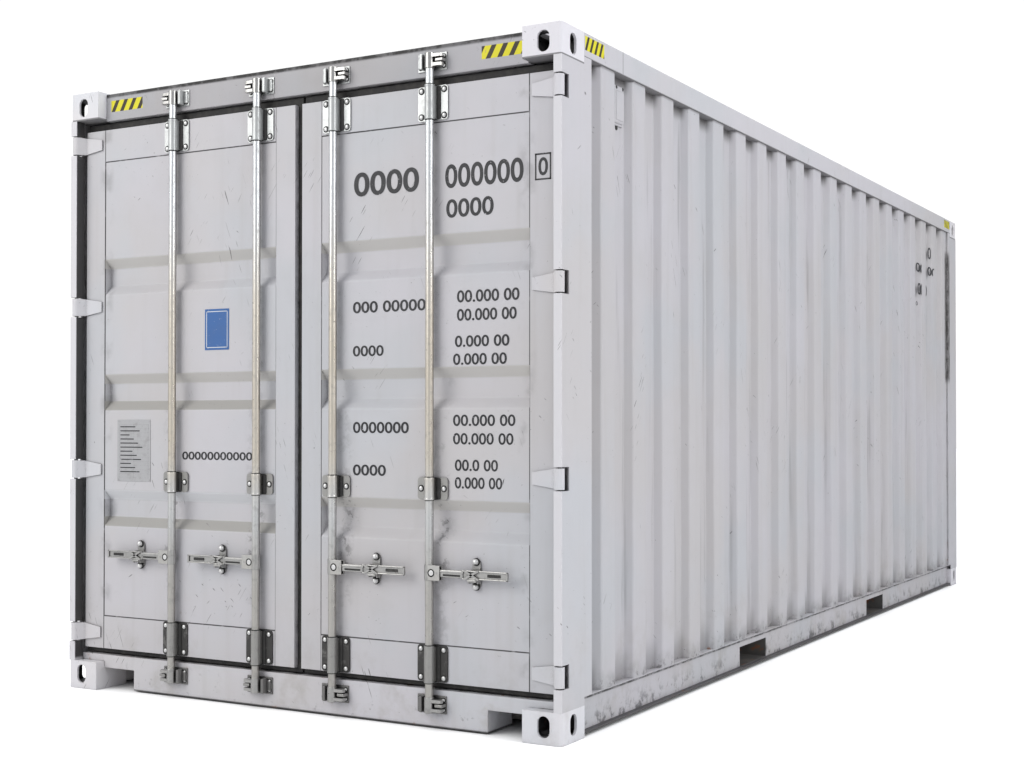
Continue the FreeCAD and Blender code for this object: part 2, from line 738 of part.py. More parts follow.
def floor():
    """Plywood boards in rows of two, resting on the crossmembers; the last two are notched round the posts."""
    boards = []
    rows = int(SHEET.board_rows)
    low = "(%s + sill_deep)" % FACE
    high = "(%s - blind_in - blind_rail_deep)" % BACK
    z = ("cross_low + cross_high", "cross_low + cross_high + board_thick")
    for row in range(rows):
        start = "(%s + (%s - %s) * %d / %d)" % (low, high, low, row, rows)
        end = "(%s + (%s - %s) * %d / %d)" % (low, high, low, row + 1, rows)
        for side in (-1, 1):
            board = box("Board", span(side, "board_gap / 2", SHELF_INSIDE + " - board_clear"),
                        (start + " + board_gap / 2", end + " - board_gap / 2"), z)
            if row == rows - 1:
                post = box("BoardNotch", span(side, SIDE + " - blind_post_wide - board_clear", SIDE),
                           (BACK + " - blind_post_deep - board_clear", BACK), ("0", TOP_RAIL_LOW))
                board = cut("BoardCut", board, [post])
            boards.append(board)
    sub_part("floor_boards", group("Boards", boards))


def hinge_pins(name, side):
    """Pins in the door post's strip, each with a block above and below that fills the strip."""
    sign = "" if side > 0 else "-"
    pins = []
    for hinge in HINGES:
        gap = "(knuckle_half + knuckle_clear)"
        low = "%s - %s - lug_high" % (hinge, gap)
        pin = cylinder("Pin", "z", ("%s%s" % (sign, PIN_X), PIN_Y, low), "pin_radius",
                       "2 * (%s + lug_high)" % gap)
        x = span(side, SIDE + " - strip_wide + strip_wall", SIDE + " - strip_wall")
        y = (FRONT + " + strip_wall", FRONT + " + strip_deep - strip_wall")
        blocks = [
            box("Lug", x, y, (low, "%s - %s" % (hinge, gap))),
            box("Lug", x, y, ("%s + %s" % (hinge, gap), "%s + %s + lug_high" % (hinge, gap))),
        ]
        pins.append(fuse("PinSet", [pin] + blocks))
    sub_part("hinge_pins_" + name, group("Pins", pins))


def keepers():
    """A plate, a tongue and a lug for each end of each bar, on the header and the sill."""
    plates = []
    front = "(%s - keeper_thick)" % FACE
    for up in ("cam_low", CAM_TOP):
        for side in (-1, 1):
            for place_name, bar in BARS:
                base = box("KeeperPlate", span(side, bar + " - keeper_inner", bar + " + keeper_outer"),
                           (front, FACE), (up + " - keeper_half", up + " + keeper_half"))
                tongue_x = ("%s + %s + tongue_in" % (bar, CAM_RADIUS), bar + " + prong_reach + tongue_past")
                tongue = box("KeeperTongue", span(side, *tongue_x),
                             (front + " - keeper_proud", front),
                             (up + " - tongue_thick / 2", up + " + tongue_thick / 2"))
                lug = box("KeeperLug", span(side, bar + " - keeper_lug_far", bar + " - keeper_lug_near"),
                          (front + " - keeper_proud", front), (up + " - cam_half", up + " + cam_half"))
                bolts = []
                for across in ("- keeper_inner + keeper_bolt_in", "+ keeper_outer - keeper_bolt_in"):
                    for rise in ("- keeper_half + bolt_in", "+ keeper_half - bolt_in"):
                        sign = "" if side > 0 else "-"
                        at = ("%s(%s %s)" % (sign, bar, across), front + " - bolt_proud", up + " " + rise)
                        bolts.append(cylinder("KeeperBolt", "y", at, "bolt_radius", "bolt_proud + tool_past"))
                plates.append(fuse("Keeper", [base, tongue, lug] + bolts))
    sub_part("cam_keepers", group("Keepers", plates))


def leaf_frame(name, side):
    """Four box-section members; the stiles run full height."""
    y = (FACE, LEAF_BACK)
    z = ("leaf_low", LEAF_TOP)
    inner = hollow("InnerStile", span(side, "leaf_inner", "leaf_inner + stile_inner"), y, z, "leaf_wall", "z")
    outer = hollow("OuterStile", span(side, LEAF_EDGE + " - stile_outer", LEAF_EDGE), y, z, "leaf_wall", "z")
    x = span(side, "leaf_inner + stile_inner", LEAF_EDGE + " - stile_outer")
    foot = hollow("FootRail", x, y, ("leaf_low", "leaf_low + rail_foot"), "leaf_wall", "x")
    head = hollow("HeadRail", x, y, (LEAF_TOP + " - rail_head", LEAF_TOP), "leaf_wall", "x")
    sub_part("leaf_frame_" + name, group("LeafFrame", [inner, outer, foot, head]))


def leaf_panel(name, side):
    """A sheet with three level troughs, set a little behind the frame's face."""
    def turn(along, out):
        return "-(%s)" % out, along

    ridge = "(panel_pitch - 2 * panel_slope - panel_floor)"
    fold = fold_points(ridge, "panel_slope", "panel_floor", "panel_depth", "panel_sheet")
    tail = "(%s - leaf_low - rail_foot - rail_head - panel_lead)" % LEAF_TOP
    folds = "floor(%s / panel_pitch)" % tail
    ends = [strip_points("-panel_lead", "0", "panel_sheet"),
            strip_points("panel_pitch * " + folds, tail, "panel_sheet")]
    wide = "(%s - stile_outer - leaf_inner - stile_inner)" % LEAF_EDGE
    body = folded_sheet("LeafPanel", "YZ_Plane", turn, "Z_Axis", fold, "panel_pitch", folds, ends, wide)
    low = span(side, "leaf_inner + stile_inner", LEAF_EDGE + " - stile_outer")[0]
    place(body, low, PANEL_FACE, "leaf_low + rail_foot + panel_lead")
    sub_part("leaf_panel_" + name, body)


def leaf_gasket(name, side):
    """Rubber lips round a leaf; the left leaf's also covers the gap between the two leaves."""
    y = (FACE + " + seal_front_in", FACE + " + seal_front_in + seal_thick")
    x = span(side, "leaf_inner", LEAF_EDGE + " + seal_side")
    lips = [
        box("SealTop", x, y, (LEAF_TOP, LEAF_TOP + " + seal_top")),
        box("SealFoot", x, y, ("leaf_low - seal_foot", "leaf_low")),
        box("SealSide", span(side, LEAF_EDGE, LEAF_EDGE + " + seal_side"), y,
            ("leaf_low - seal_foot", LEAF_TOP + " + seal_top")),
    ]
    if side < 0:
        lips.append(box("SealCentre", ("-leaf_inner", "-leaf_inner + seal_centre"), y,
                        ("leaf_low - seal_foot", LEAF_TOP + " + seal_top")))
    sub_part("leaf_gasket_" + name, fuse("Gasket", lips))


def hinge_blades(name, side):
    """Forged straps that bend out from the leaf to a knuckle on each pin, and taper along the leaf."""
    sign = "" if side > 0 else "-"
    blades = []
    for hinge in HINGES:
        plan = DOC.addObject("PartDesign::Body", "BladePlan")
        face = "(face_in - pin_in_end)"
        flat = "(%s - blade_thick)" % face
        outline = [
            ("-blade_reach", face), ("-blade_reach", flat), ("-blade_bend", flat),
            ("-blade_heel_in", "-blade_heel_out"), ("0", "-blade_heel_out"), ("0", "blade_throat_out"),
            ("-blade_throat_in", "blade_throat_back"), ("-(leaf_outer_in - pin_in_side)", face),
        ]
        outline_pad(plan, "BladePlanPad", "XY_Plane", [("%s(%s)" % (sign, x), y) for x, y in outline],
                    "2 * knuckle_half")
        place(plan, "%s%s" % (sign, PIN_X), PIN_Y, "%s - knuckle_half" % hinge)
        shape = DOC.addObject("PartDesign::Body", "BladeTaper")
        tip = "-blade_reach - tool_past"
        end = "pin_in_side + tool_past"
        taper = [
            (tip, "-blade_tip_half"), ("-pin_in_side", "-knuckle_half"), (end, "-knuckle_half"),
            (end, "knuckle_half"), ("-pin_in_side", "knuckle_half"), (tip, "blade_tip_half"),
        ]
        outline_pad(shape, "BladeTaperPad", "XZ_Plane", [("%s(%s)" % (sign, x), z) for x, z in taper],
                    "2 * face_in")
        place(shape, "%s%s" % (sign, PIN_X), PIN_Y + " + face_in", hinge)
        arm = DOC.addObject("Part::Common", "BladeArm")
        arm.Base = plan
        arm.Tool = shape
        start = ("%s%s" % (sign, PIN_X), PIN_Y, "%s - knuckle_half" % hinge)
        knuckle = cylinder("Knuckle", "z", start, "pin_in_side", "2 * knuckle_half")
        bore_start = ("%s%s" % (sign, PIN_X), PIN_Y, "%s - knuckle_half - tool_past" % hinge)
        bore = cylinder("KnuckleBore", "z", bore_start, "pin_radius + pin_fit",
                        "2 * (knuckle_half + tool_past)")
        blades.append(cut("Blade", fuse("BladeWhole", [arm, knuckle]), [bore]))
    sub_part("hinge_blades_" + name, group("Blades", blades))


def bracket(side, bar, low, high, rows):
    """A bolted plate with a sleeve that the bar turns in."""
    sign = "" if side > 0 else "-"
    z = (low, "%s + %s" % (low, high))
    plate = box("BracketPlate", span(side, bar + " - bracket_half", bar + " + bracket_half"),
                (FACE + " - bracket_thick", FACE), z)
    outer = "(bar_radius + sleeve_wall)"
    saddle = box("BracketSaddle", span(side, bar + " - " + outer, bar + " + " + outer),
                 (BAR_Y, FACE + " - bracket_thick"), z)
    sleeve = cylinder("BracketSleeve", "z", ("%s%s" % (sign, bar), BAR_Y, low), outer, high)
    bore = cylinder("BracketBore", "z", ("%s%s" % (sign, bar), BAR_Y, low + " - tool_past"),
                    "bar_radius + bar_fit", high + " + 2 * tool_past")
    bolts = []
    for across in ("- bracket_half + bolt_in", "+ bracket_half - bolt_in"):
        for row in range(rows):
            rise = "%s / 2" % high if rows == 1 else "bolt_in + (%s - 2 * bolt_in) * %d" % (high, row)
            at = ("%s(%s %s)" % (sign, bar, across), FACE + " - bracket_thick - bolt_proud",
                  "%s + %s" % (low, rise))
            bolts.append(cylinder("BracketBolt", "y", at, "bolt_radius", "bolt_proud + tool_past"))
    return cut("Bracket", fuse("BracketWhole", [plate, saddle, sleeve] + bolts), [bore])


def rod_brackets(name, side):
    pieces = []
    for place_name, bar in BARS:
        pieces.append(bracket(side, bar, TOP_BRACKET_LOW, "top_bracket_high", 2))
        pieces.append(bracket(side, bar, "mid_bracket_low", "mid_bracket_high", 1))
        pieces.append(bracket(side, bar, "foot_bracket_low", "foot_bracket_high", 2))
    sub_part("rod_brackets_" + name, group("Brackets", pieces))


def handle_catches(name, side):
    """A plate behind each handle with a shelf under it, and a bolt above and below."""
    sign = "" if side > 0 else "-"
    pieces = []
    for place_name, bar in BARS:
        centre = "%s + catch_out" % bar
        back = PANEL_FACE
        front = back + " - panel_set_back - catch_thick"
        plate = box("CatchPlate", span(side, centre + " - catch_half", centre + " + catch_half"),
                    (front, back), ("handle_up - catch_high_half", "handle_up + catch_high_half"))
        seat = "handle_up - grip_half - catch_seat"
        shelf_x = (centre + " - catch_half + catch_shelf_in", centre + " + catch_half - catch_shelf_in")
        shelf = box("CatchShelf", span(side, *shelf_x),
                    (BAR_Y + " - lug_thick / 2 - handle_gap - handle_thick + catch_shelf_short", front),
                    (seat + " - catch_shelf", seat))
        bolts = []
        for rise in ("- catch_high_half + bolt_in", "+ catch_high_half - bolt_in"):
            at = ("%s(%s)" % (sign, centre), front + " - bolt_proud", "handle_up " + rise)
            bolts.append(cylinder("CatchBolt", "y", at, "bolt_radius", "bolt_proud + tool_past"))
        pieces.append(fuse("Catch", [plate, shelf] + bolts))
    sub_part("handle_catches_" + name, group("Catches", pieces))


def data_plate():
    z = ("plate_low", "plate_low + plate_high")
    plate = box("DataPlate", ("-plate_out", "-plate_out + plate_wide"),
                (PANEL_FACE + " - plate_thick", PANEL_FACE), z)
    sub_part("data_plate", plate)


def locking_bar(name, side, bar):
    """A tube with a forked cam at each end and a hub that carries the handle's pivot."""
    sign = "" if side > 0 else "-"
    x = "%s%s" % (sign, bar)
    low = "cam_low - cam_half"
    high = CAM_TOP + " + cam_half"
    pieces = [cylinder("BarTube", "z", (x, BAR_Y, low), "bar_radius", "%s - (%s)" % (high, low))]
    for up in ("cam_low", CAM_TOP):
        pieces.append(cylinder("Cam", "z", (x, BAR_Y, up + " - cam_half"), CAM_RADIUS, "2 * cam_half"))
        near = "(tongue_thick / 2 + tongue_clear)"
        for z in ((up + " + " + near, up + " + %s + prong_thick" % near),
                  (up + " - %s - prong_thick" % near, up + " - " + near)):
            pieces.append(box("Prong", span(side, bar, bar + " + prong_reach"),
                              (BAR_Y + " - prong_half", BAR_Y + " + prong_half"), z))
    pieces.append(cylinder("Hub", "z", (x, BAR_Y, "handle_up - hub_half"), CAM_RADIUS, "2 * hub_half"))
    pieces.append(box("HubLug", span(side, bar, bar + " + hub_reach"),
                      (BAR_Y + " - lug_thick / 2", BAR_Y + " + lug_thick / 2"),
                      ("handle_up - hub_half + hub_lug_in", "handle_up + hub_half - hub_lug_in")))
    at = ("%s(%s + %s)" % (sign, bar, PIVOT_OUT),
          BAR_Y + " - lug_thick / 2 - handle_gap - handle_thick - pivot_head", "handle_up")
    pieces.append(cylinder("Pivot", "y", at, "pivot_radius",
                           "lug_thick / 2 + handle_gap + handle_thick + 2 * pivot_head"))
    sub_part("locking_bar_" + name, fuse("LockingBar", pieces))


def handle(name, side, bar):
    """A flat bar on the hub's pivot that widens into a grip."""
    sign = "" if side > 0 else "-"
    back = "(%s - lug_thick / 2 - handle_gap)" % BAR_Y
    y = (back + " - handle_thick", back)
    shank = box("Shank", span(side, "%s + %s" % (bar, PIVOT_OUT), bar + " + grip_from"), y,
                ("handle_up - handle_half", "handle_up + handle_half"))
    grip = box("Grip", span(side, bar + " + grip_from", bar + " + handle_reach"), y,
               ("handle_up - grip_half", "handle_up + grip_half"))
    at = ("%s(%s + %s)" % (sign, bar, PIVOT_OUT), back + " - handle_thick", "handle_up")
    eye = cylinder("HandleEye", "y", at, "pivot_radius + eye_wall", "handle_thick")
    bore_at = (at[0], back + " - handle_thick - tool_past", "handle_up")
    bore = cylinder("HandleBore", "y", bore_at, "pivot_radius + bar_fit", "handle_thick + 2 * tool_past")
    sub_part("handle_" + name, cut("Handle", fuse("HandleWhole", [shank, grip, eye]), [bore]))


def build():
    castings()
    door_header()
    door_sill()
    blind_rails()
    for name, side in SIDES:
        door_post(name, side)
        blind_post(name, side)
        side_rails(name, side)
        side_wall(name, side)
        hinge_pins(name, side)
    blind_wall()
    roof()
    vents()
    crossmembers()
    fork_pockets()
    floor()
    keepers()
    for name, side in SIDES:
        leaf_frame(name, side)
        leaf_panel(name, side)
        leaf_gasket(name, side)
        hinge_blades(name, side)
        rod_brackets(name, side)
        handle_catches(name, side)
        for place_name, bar in BARS:
            locking_bar("%s_%s" % (name, place_name), side, bar)
            handle("%s_%s" % (name, place_name), side, bar)
    data_plate()


def check():
    """Stops on any failed object or bad shape."""
    DOC.recompute()
    for item in DOC.Objects:
        if "Invalid" in item.State or "Error" in item.State:
            raise RuntimeError("%s is %s" % (item.Label, item.State))
    for item in SUB_PARTS:
        if item.Shape.isNull() or not item.Shape.isValid():
            raise RuntimeError("%s has a bad shape" % item.Label)


def export():
    os.makedirs("parts", exist_ok=True)
    for item in SUB_PARTS:
        item.Shape.exportStep("parts/%s.step" % item.Label)


build()
check()
export()
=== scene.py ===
import json
import math

import bmesh
import bpy
from mathutils import Matrix, Vector, noise

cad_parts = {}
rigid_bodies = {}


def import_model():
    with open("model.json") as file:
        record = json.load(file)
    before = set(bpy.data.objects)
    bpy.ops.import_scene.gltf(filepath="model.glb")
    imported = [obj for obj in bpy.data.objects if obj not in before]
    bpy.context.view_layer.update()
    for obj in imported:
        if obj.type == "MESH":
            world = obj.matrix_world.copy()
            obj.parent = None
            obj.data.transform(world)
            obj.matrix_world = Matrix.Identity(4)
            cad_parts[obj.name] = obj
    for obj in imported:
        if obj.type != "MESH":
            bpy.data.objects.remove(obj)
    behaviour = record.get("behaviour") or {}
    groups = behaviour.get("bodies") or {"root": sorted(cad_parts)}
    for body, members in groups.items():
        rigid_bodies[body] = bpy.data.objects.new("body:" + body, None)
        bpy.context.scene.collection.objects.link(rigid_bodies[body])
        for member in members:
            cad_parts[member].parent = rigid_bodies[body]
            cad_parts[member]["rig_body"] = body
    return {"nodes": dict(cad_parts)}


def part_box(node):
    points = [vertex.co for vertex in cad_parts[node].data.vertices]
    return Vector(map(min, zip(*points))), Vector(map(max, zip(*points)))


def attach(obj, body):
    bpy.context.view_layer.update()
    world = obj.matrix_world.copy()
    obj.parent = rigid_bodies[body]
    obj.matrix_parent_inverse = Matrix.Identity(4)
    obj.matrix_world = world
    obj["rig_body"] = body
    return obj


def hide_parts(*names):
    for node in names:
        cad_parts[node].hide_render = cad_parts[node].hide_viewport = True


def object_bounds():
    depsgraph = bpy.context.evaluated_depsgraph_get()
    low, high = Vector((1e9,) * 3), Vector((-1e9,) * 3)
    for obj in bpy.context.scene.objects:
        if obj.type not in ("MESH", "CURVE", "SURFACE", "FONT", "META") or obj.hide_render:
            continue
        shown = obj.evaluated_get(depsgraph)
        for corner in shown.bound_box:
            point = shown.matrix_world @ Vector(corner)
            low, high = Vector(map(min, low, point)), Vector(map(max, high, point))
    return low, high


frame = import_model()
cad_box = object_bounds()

# A freight container, finished as painted steel with zinc-plated door gear.
# Metres, in the shared frame: X across, Y along with the doors at -Y, Z up.

GROUND = cad_box[0].z
SIDES = (("left", -1), ("right", 1))
BARS = (("inner", 0.192), ("outer", 0.6445))
GEAR = [(name, place, side, out) for name, side in SIDES for place, out in BARS]
BAR_Y = -3.009
BAR_RADIUS = 0.0159
HANDLE_Z = 0.590
GEAR_BACK = -2.981
GEAR_FACE = -2.987
STILE_EDGE = 1.061
FOOT_RAIL_TOP = 0.315
HEAD_RAIL_FOOT = 2.290
FOLD_PITCH = 0.502
SHEET = 0.002
UP = (0, 0, 1)
OUT = (0, -1, 0)
UPRIGHT = Matrix.Rotation(math.pi / 2, 4, "X")


# -------------------- shader maths

class Mask:
    """One number that varies over a surface; arithmetic on it adds Math nodes."""

    def __init__(self, look, socket):
        self.look = look
        self.socket = socket

    def __add__(self, other):
        return self.look.maths("ADD", self, other)

    __radd__ = __add__

    def __sub__(self, other):
        return self.look.maths("SUBTRACT", self, other)

    def __rsub__(self, other):
        return self.look.maths("SUBTRACT", other, self)

    def __mul__(self, other):
        return self.look.maths("MULTIPLY", self, other)

    __rmul__ = __mul__

    def __abs__(self):
        return self.look.maths("ABSOLUTE", self)

    def __or__(self, other):
        return self.look.maths("MAXIMUM", self, other)

    def ramp(self, low, high):
        """0 below low and 1 above high, eased between; low may be the larger."""
        if low > high:
            return 1 - self.ramp(high, low)
        node = self.look.add(
            "ShaderNodeMapRange",
            {"interpolation_type": "SMOOTHSTEP", "clamp": True},
            {"Value": self, "From Min": low, "From Max": high, "To Min": 0.0, "To Max": 1.0},
        )
        return Mask(self.look, node.outputs["Result"])

    def near(self, centre, half, soft):
        """1 within half of the centre, easing to 0 over soft."""
        return abs(self - centre).ramp(half + soft, half)


class Tree:
    """The nodes of a material or of the world, and the one way that they are made."""

    def __init__(self, tree):
        self.tree = tree

    def add(self, kind, settings=None, inputs=None):
        node = self.tree.nodes.new(kind)
        for key, value in (settings or {}).items():
            setattr(node, key, value)
        for key, value in (inputs or {}).items():
            self.feed(node.inputs[key], value)
        return node

    def feed(self, socket, value):
        if isinstance(value, Mask):
            value = value.socket
        if isinstance(value, bpy.types.NodeSocket):
            self.tree.links.new(value, socket)
        elif isinstance(value, tuple) and len(value) == 3 and socket.type == "RGBA":
            socket.default_value = (*value, 1.0)
        else:
            socket.default_value = value

    def maths(self, operation, *values):
        inputs = dict(enumerate(values))
        return Mask(self, self.add("ShaderNodeMath", {"operation": operation}, inputs).outputs[0])


class Look(Tree):
    """A material, with the coordinates and patterns that its colours come from."""

    def __init__(self, name):
        self.material = bpy.data.materials.new(name)
        self.material.use_nodes = True
        super().__init__(self.material.node_tree)
        self.shader = self.tree.nodes["Principled BSDF"]
        self.spot = self.add("ShaderNodeTexCoord").outputs["Object"]
        parts = self.add("ShaderNodeSeparateXYZ", {}, {"Vector": self.spot})
        self.x, self.y, self.z = (Mask(self, parts.outputs[axis]) for axis in "XYZ")
        self.run = self.x + self.y
        self.colour = PAINT

    def mix(self, factor, first, second):
        """The first colour, giving way to the second as the factor goes to 1."""
        inputs = {0: factor, 6: first, 7: second}
        return self.add("ShaderNodeMix", {"data_type": "RGBA", "clamp_factor": True}, inputs).outputs[2]

    def lay(self, factor, colour):
        """Lays a colour over what the look has so far, as far as the factor says."""
        self.colour = self.mix(factor, self.colour, colour)

    def vector(self, x, y, z):
        return self.add("ShaderNodeCombineXYZ", {}, {"X": x, "Y": y, "Z": z}).outputs[0]

    def noise(self, scale, detail=3.0, vector=None, stretch=(1.0, 1.0, 1.0), offset=0.0, rough=0.55):
        """Cloudy noise, 0 to 1; stretch squeezes the coordinate along each axis."""
        shift = (offset, offset * 0.7, offset * 1.3)
        moved = self.add("ShaderNodeMapping", {}, {
            "Vector": vector or self.spot, "Scale": stretch, "Location": shift})
        node = self.add("ShaderNodeTexNoise", {}, {
            "Vector": moved.outputs[0], "Scale": scale, "Detail": detail, "Roughness": rough})
        return Mask(self, node.outputs[0])

    def patches(self, scale, detail, offset, low, high, rough=0.55):
        """Cloudy noise cut into patches: 0 below low and 1 above high."""
        return self.noise(scale, detail, offset=offset, rough=rough).ramp(low, high)

    def crevice(self, distance, samples=6):
        """1 deep in a corner and 0 on an open face."""
        node = self.add("ShaderNodeAmbientOcclusion", {"samples": samples}, {"Distance": distance})
        return 1 - Mask(self, node.outputs["AO"])

    def scratches(self, slant, scale, cut, offset, short=0.055):
        """Short thin marks that lean one way across any upright face."""
        lean, rise = math.sin(slant), math.cos(slant)
        across = self.run * rise + self.z * lean
        along = self.z * rise - self.run * lean
        slanted = self.vector(across * scale, along * (scale * short), self.x * 3.0)
        lines = self.noise(1.0, 1.0, slanted, offset=offset)
        patch = self.noise(2.6, 3.0, offset=offset + 3.0)
        return lines.ramp(cut, cut + 0.03) * patch.ramp(0.58, 0.66)

    def surface(self, roughness, metallic=0.0, bump=None, depth=0.001):
        self.feed(self.shader.inputs["Base Color"], self.colour)
        self.feed(self.shader.inputs["Roughness"], roughness)
        self.feed(self.shader.inputs["Metallic"], metallic)
        if bump is not None:
            node = self.add("ShaderNodeBump", {}, {"Height": bump, "Distance": depth, "Strength": 1.0})
            self.feed(self.shader.inputs["Normal"], node.outputs[0])
        return self.material


# -------------------- finishes

PAINT = (0.492, 0.482, 0.508)
PAINT_WARM = (0.474, 0.460, 0.466)
PAINT_COOL = (0.462, 0.468, 0.490)
PAINT_HIGHLIGHT = (0.640, 0.632, 0.655)
# The dark grime and soot colours serve both for dirt and for painted shade.
GRIME_AND_SHADE = (0.085, 0.080, 0.078)
SOOT_AND_SHADE = (0.020, 0.019, 0.019)
DUST = (0.330, 0.305, 0.275)
RUST = (0.205, 0.085, 0.040)
YELLOW = (0.660, 0.600, 0.014)
YELLOW_WORN = (0.45, 0.36, 0.10)
STRIPE_BLACK = (0.032, 0.024, 0.015)
BLACK = (0.014, 0.013, 0.013)
# Fold colours: a warm tint for the folds' upper flanks, then painted light and painted shade for the left
# leaf's folds.
FOLD_WARM = (0.520, 0.505, 0.475)
FOLD_PAINTED_LIGHT = (0.640, 0.650, 0.670)
FOLD_PAINTED_SHADE = (0.345, 0.335, 0.312)


def stripes(look, zone, pitch, lean):
    """Slanting yellow and black bars inside a zone."""
    yellow = look.mix(look.noise(60.0, 4.0).ramp(0.62, 0.72), YELLOW, YELLOW_WORN)
    slant = look.maths("FRACT", (look.run - look.z * lean) * (1 / pitch))
    look.lay(zone, look.mix(slant.near(0.5, 0.200, 0.03), yellow, STRIPE_BLACK))


def painted(name, dirt=1.0, extra=None, shade=1.0):
    """Light grey paint with faint clouds, runs, nicks, and painted shade with grime in the corners."""
    look = Look(name)
    cloud = look.noise(0.9, 4.0, offset=2.0)
    # shade lightens or darkens this part's whole paint: painted light and shade.
    base, warm, cool = (tuple(shade * part for part in each) for each in (PAINT, PAINT_WARM, PAINT_COOL))
    look.colour = look.mix(cloud.ramp(0.35, 0.62), base, warm)
    look.lay(look.patches(1.6, 3.0, 9.0, 0.45, 0.70), cool)
    runs = look.noise(1.0, 4.0, stretch=(16.0, 16.0, 0.9), offset=4.0)
    look.lay(runs.ramp(0.50, 0.80) * (0.16 * dirt), DUST)
    film = look.noise(7.0, 5.0, offset=5.0, rough=0.65)
    low = look.z.ramp(0.55, 0.05)
    look.lay(film.ramp(0.48, 0.72) * (0.05 + 0.30 * low) * dirt, DUST)
    if extra:
        extra(look)
    spotted = look.patches(2.2, 2.0, 7.0, 0.47, 0.62)
    specks = look.patches(95.0, 2.0, 1.0, 0.735, 0.765) * spotted
    marks = look.scratches(0.35, 150.0, 0.71, 11.0) | look.scratches(-0.6, 190.0, 0.71, 17.0)
    marks = marks | look.scratches(0.9, 95.0, 0.735, 29.0, 0.22)
    marks = marks | look.scratches(-1.0, 80.0, 0.745, 37.0, 0.18)
    look.lay((specks * 0.80 | marks * 0.80) * dirt, GRIME_AND_SHADE)
    # Painted shade: the crevice mask darkens corners and creases, broken by grime patches; rust blooms also
    # grow there.
    corner = look.crevice(0.05)
    patches = look.noise(11.0, 5.0, offset=13.0, rough=0.7)
    corner_shade_and_grime = corner.ramp(0.34, 0.85) * (0.30 + 0.95 * patches.ramp(0.42, 0.66))
    look.lay(corner_shade_and_grime * (0.85 * dirt), GRIME_AND_SHADE)
    blooms = look.patches(24.0, 5.0, 21.0, 0.63, 0.72)
    look.lay(corner.ramp(0.15, 0.6) * blooms * look.z.ramp(0.7, 0.1) * dirt, RUST)
    orange_peel = look.noise(260.0, 2.0) * 0.12 + film * 0.5
    look.surface(0.47 + 0.22 * film, bump=orange_peel, depth=0.0008)
    look.feed(look.shader.inputs["Specular IOR Level"], 0.42)
    return look.material


def zinc(name, base=(0.60, 0.61, 0.615), gilt=0.0, metallic=0.82, rough=0.34, wear=0.6, behind=None):
    """Zinc plate: fine spangle, grey bloom low down and a yellow passivated stretch where asked, with painted
    shade in its corners and, where asked, on its side towards the door.
    """
    look = Look(name)
    spangle = look.add("ShaderNodeTexVoronoi", {}, {"Vector": look.spot, "Scale": 260.0})
    spots = Mask(look, spangle.outputs["Distance"])
    look.colour = look.mix(spots.ramp(0.1, 0.6) * 0.35, base, tuple(part * 0.78 for part in base))
    if gilt:
        band = look.z.ramp(0.75, 1.05) * look.z.ramp(2.15, 1.45)
        drift = look.noise(1.0, 3.0, stretch=(25.0, 25.0, 3.0), offset=3.0)
        look.lay(band * gilt * (0.55 + 0.6 * drift), (0.64, 0.55, 0.41))
        look.lay(look.z.ramp(0.98, 0.45) * 0.85, (0.40, 0.38, 0.345))
    bloom = look.noise(35.0, 4.0, offset=6.0)
    look.lay(bloom.ramp(0.52, 0.72) * wear * 0.5, (0.24, 0.235, 0.225))
    # Painted shade on the side towards the door, for the bars' dark edges.
    if behind is not None:
        look.lay(look.y.ramp(behind, behind + 0.009) * 0.78, GRIME_AND_SHADE)
    # Painted shade: the crevice mask darkens corners to near black.
    corner = look.crevice(0.025)
    look.lay(corner.ramp(0.25, 0.70) * 0.85, SOOT_AND_SHADE)
    look.surface(rough + 0.25 * bloom, metallic, bump=bloom, depth=0.0004)
    return look.material


def rubber(name):
    look = Look(name)
    dust = look.noise(30.0, 4.0, offset=2.0)
    look.colour = look.mix(dust.ramp(0.40, 0.70) * 0.7, (0.013, 0.012, 0.012), (0.046, 0.043, 0.038))
    look.surface(0.62 + 0.2 * dust, bump=look.noise(180.0, 2.0), depth=0.0006)
    return look.material


def plywood(name):
    """Red-brown floor boards with long grain, scuffs and wheel marks."""
    look = Look(name)
    grain = look.noise(1.0, 6.0, stretch=(70.0, 2.2, 20.0), offset=1.0, rough=0.7)
    look.colour = look.mix(grain.ramp(0.3, 0.7), (0.215, 0.110, 0.060), (0.115, 0.055, 0.032))
    track = look.noise(1.0, 3.0, stretch=(5.0, 0.7, 1.0), offset=8.0)
    look.lay(track.ramp(0.50, 0.68) * 0.6, (0.055, 0.045, 0.040))
    dust = look.noise(14.0, 5.0, offset=4.0)
    look.lay(dust.ramp(0.55, 0.8) * 0.5, (0.30, 0.26, 0.21))
    look.surface(0.55 + 0.3 * dust, bump=grain, depth=0.0012)
    return look.material


def underside(name):
    """Dark bitumen paint with road dust, rust blooms and painted shade in its corners."""
    look = Look(name)
    patch = look.noise(5.0, 5.0, offset=3.0)
    look.colour = look.mix(patch.ramp(0.4, 0.7), (0.078, 0.076, 0.074), (0.140, 0.128, 0.115))
    look.lay(look.patches(17.0, 5.0, 9.0, 0.60, 0.70), RUST)
    # Painted shade in the corners, from the crevice mask.
    look.lay(look.crevice(0.05).ramp(0.3, 0.9) * 0.7, SOOT_AND_SHADE)
    look.surface(0.70 + 0.2 * patch, bump=patch, depth=0.002)
    return look.material


def printed(name, colour):
    """Sign paint rolled on thin, rubbed through in small spots."""
    look = Look(name)
    rubbed = look.patches(90.0, 4.0, 5.0, 0.66, 0.72)
    look.colour = colour
    look.lay(look.noise(9.0, 3.0).ramp(0.35, 0.7) * 0.4, tuple(0.7 * part + 0.03 for part in colour))
    look.lay(rubbed * 0.75, PAINT)
    look.surface(0.55 + 0.1 * rubbed)
    return look.material


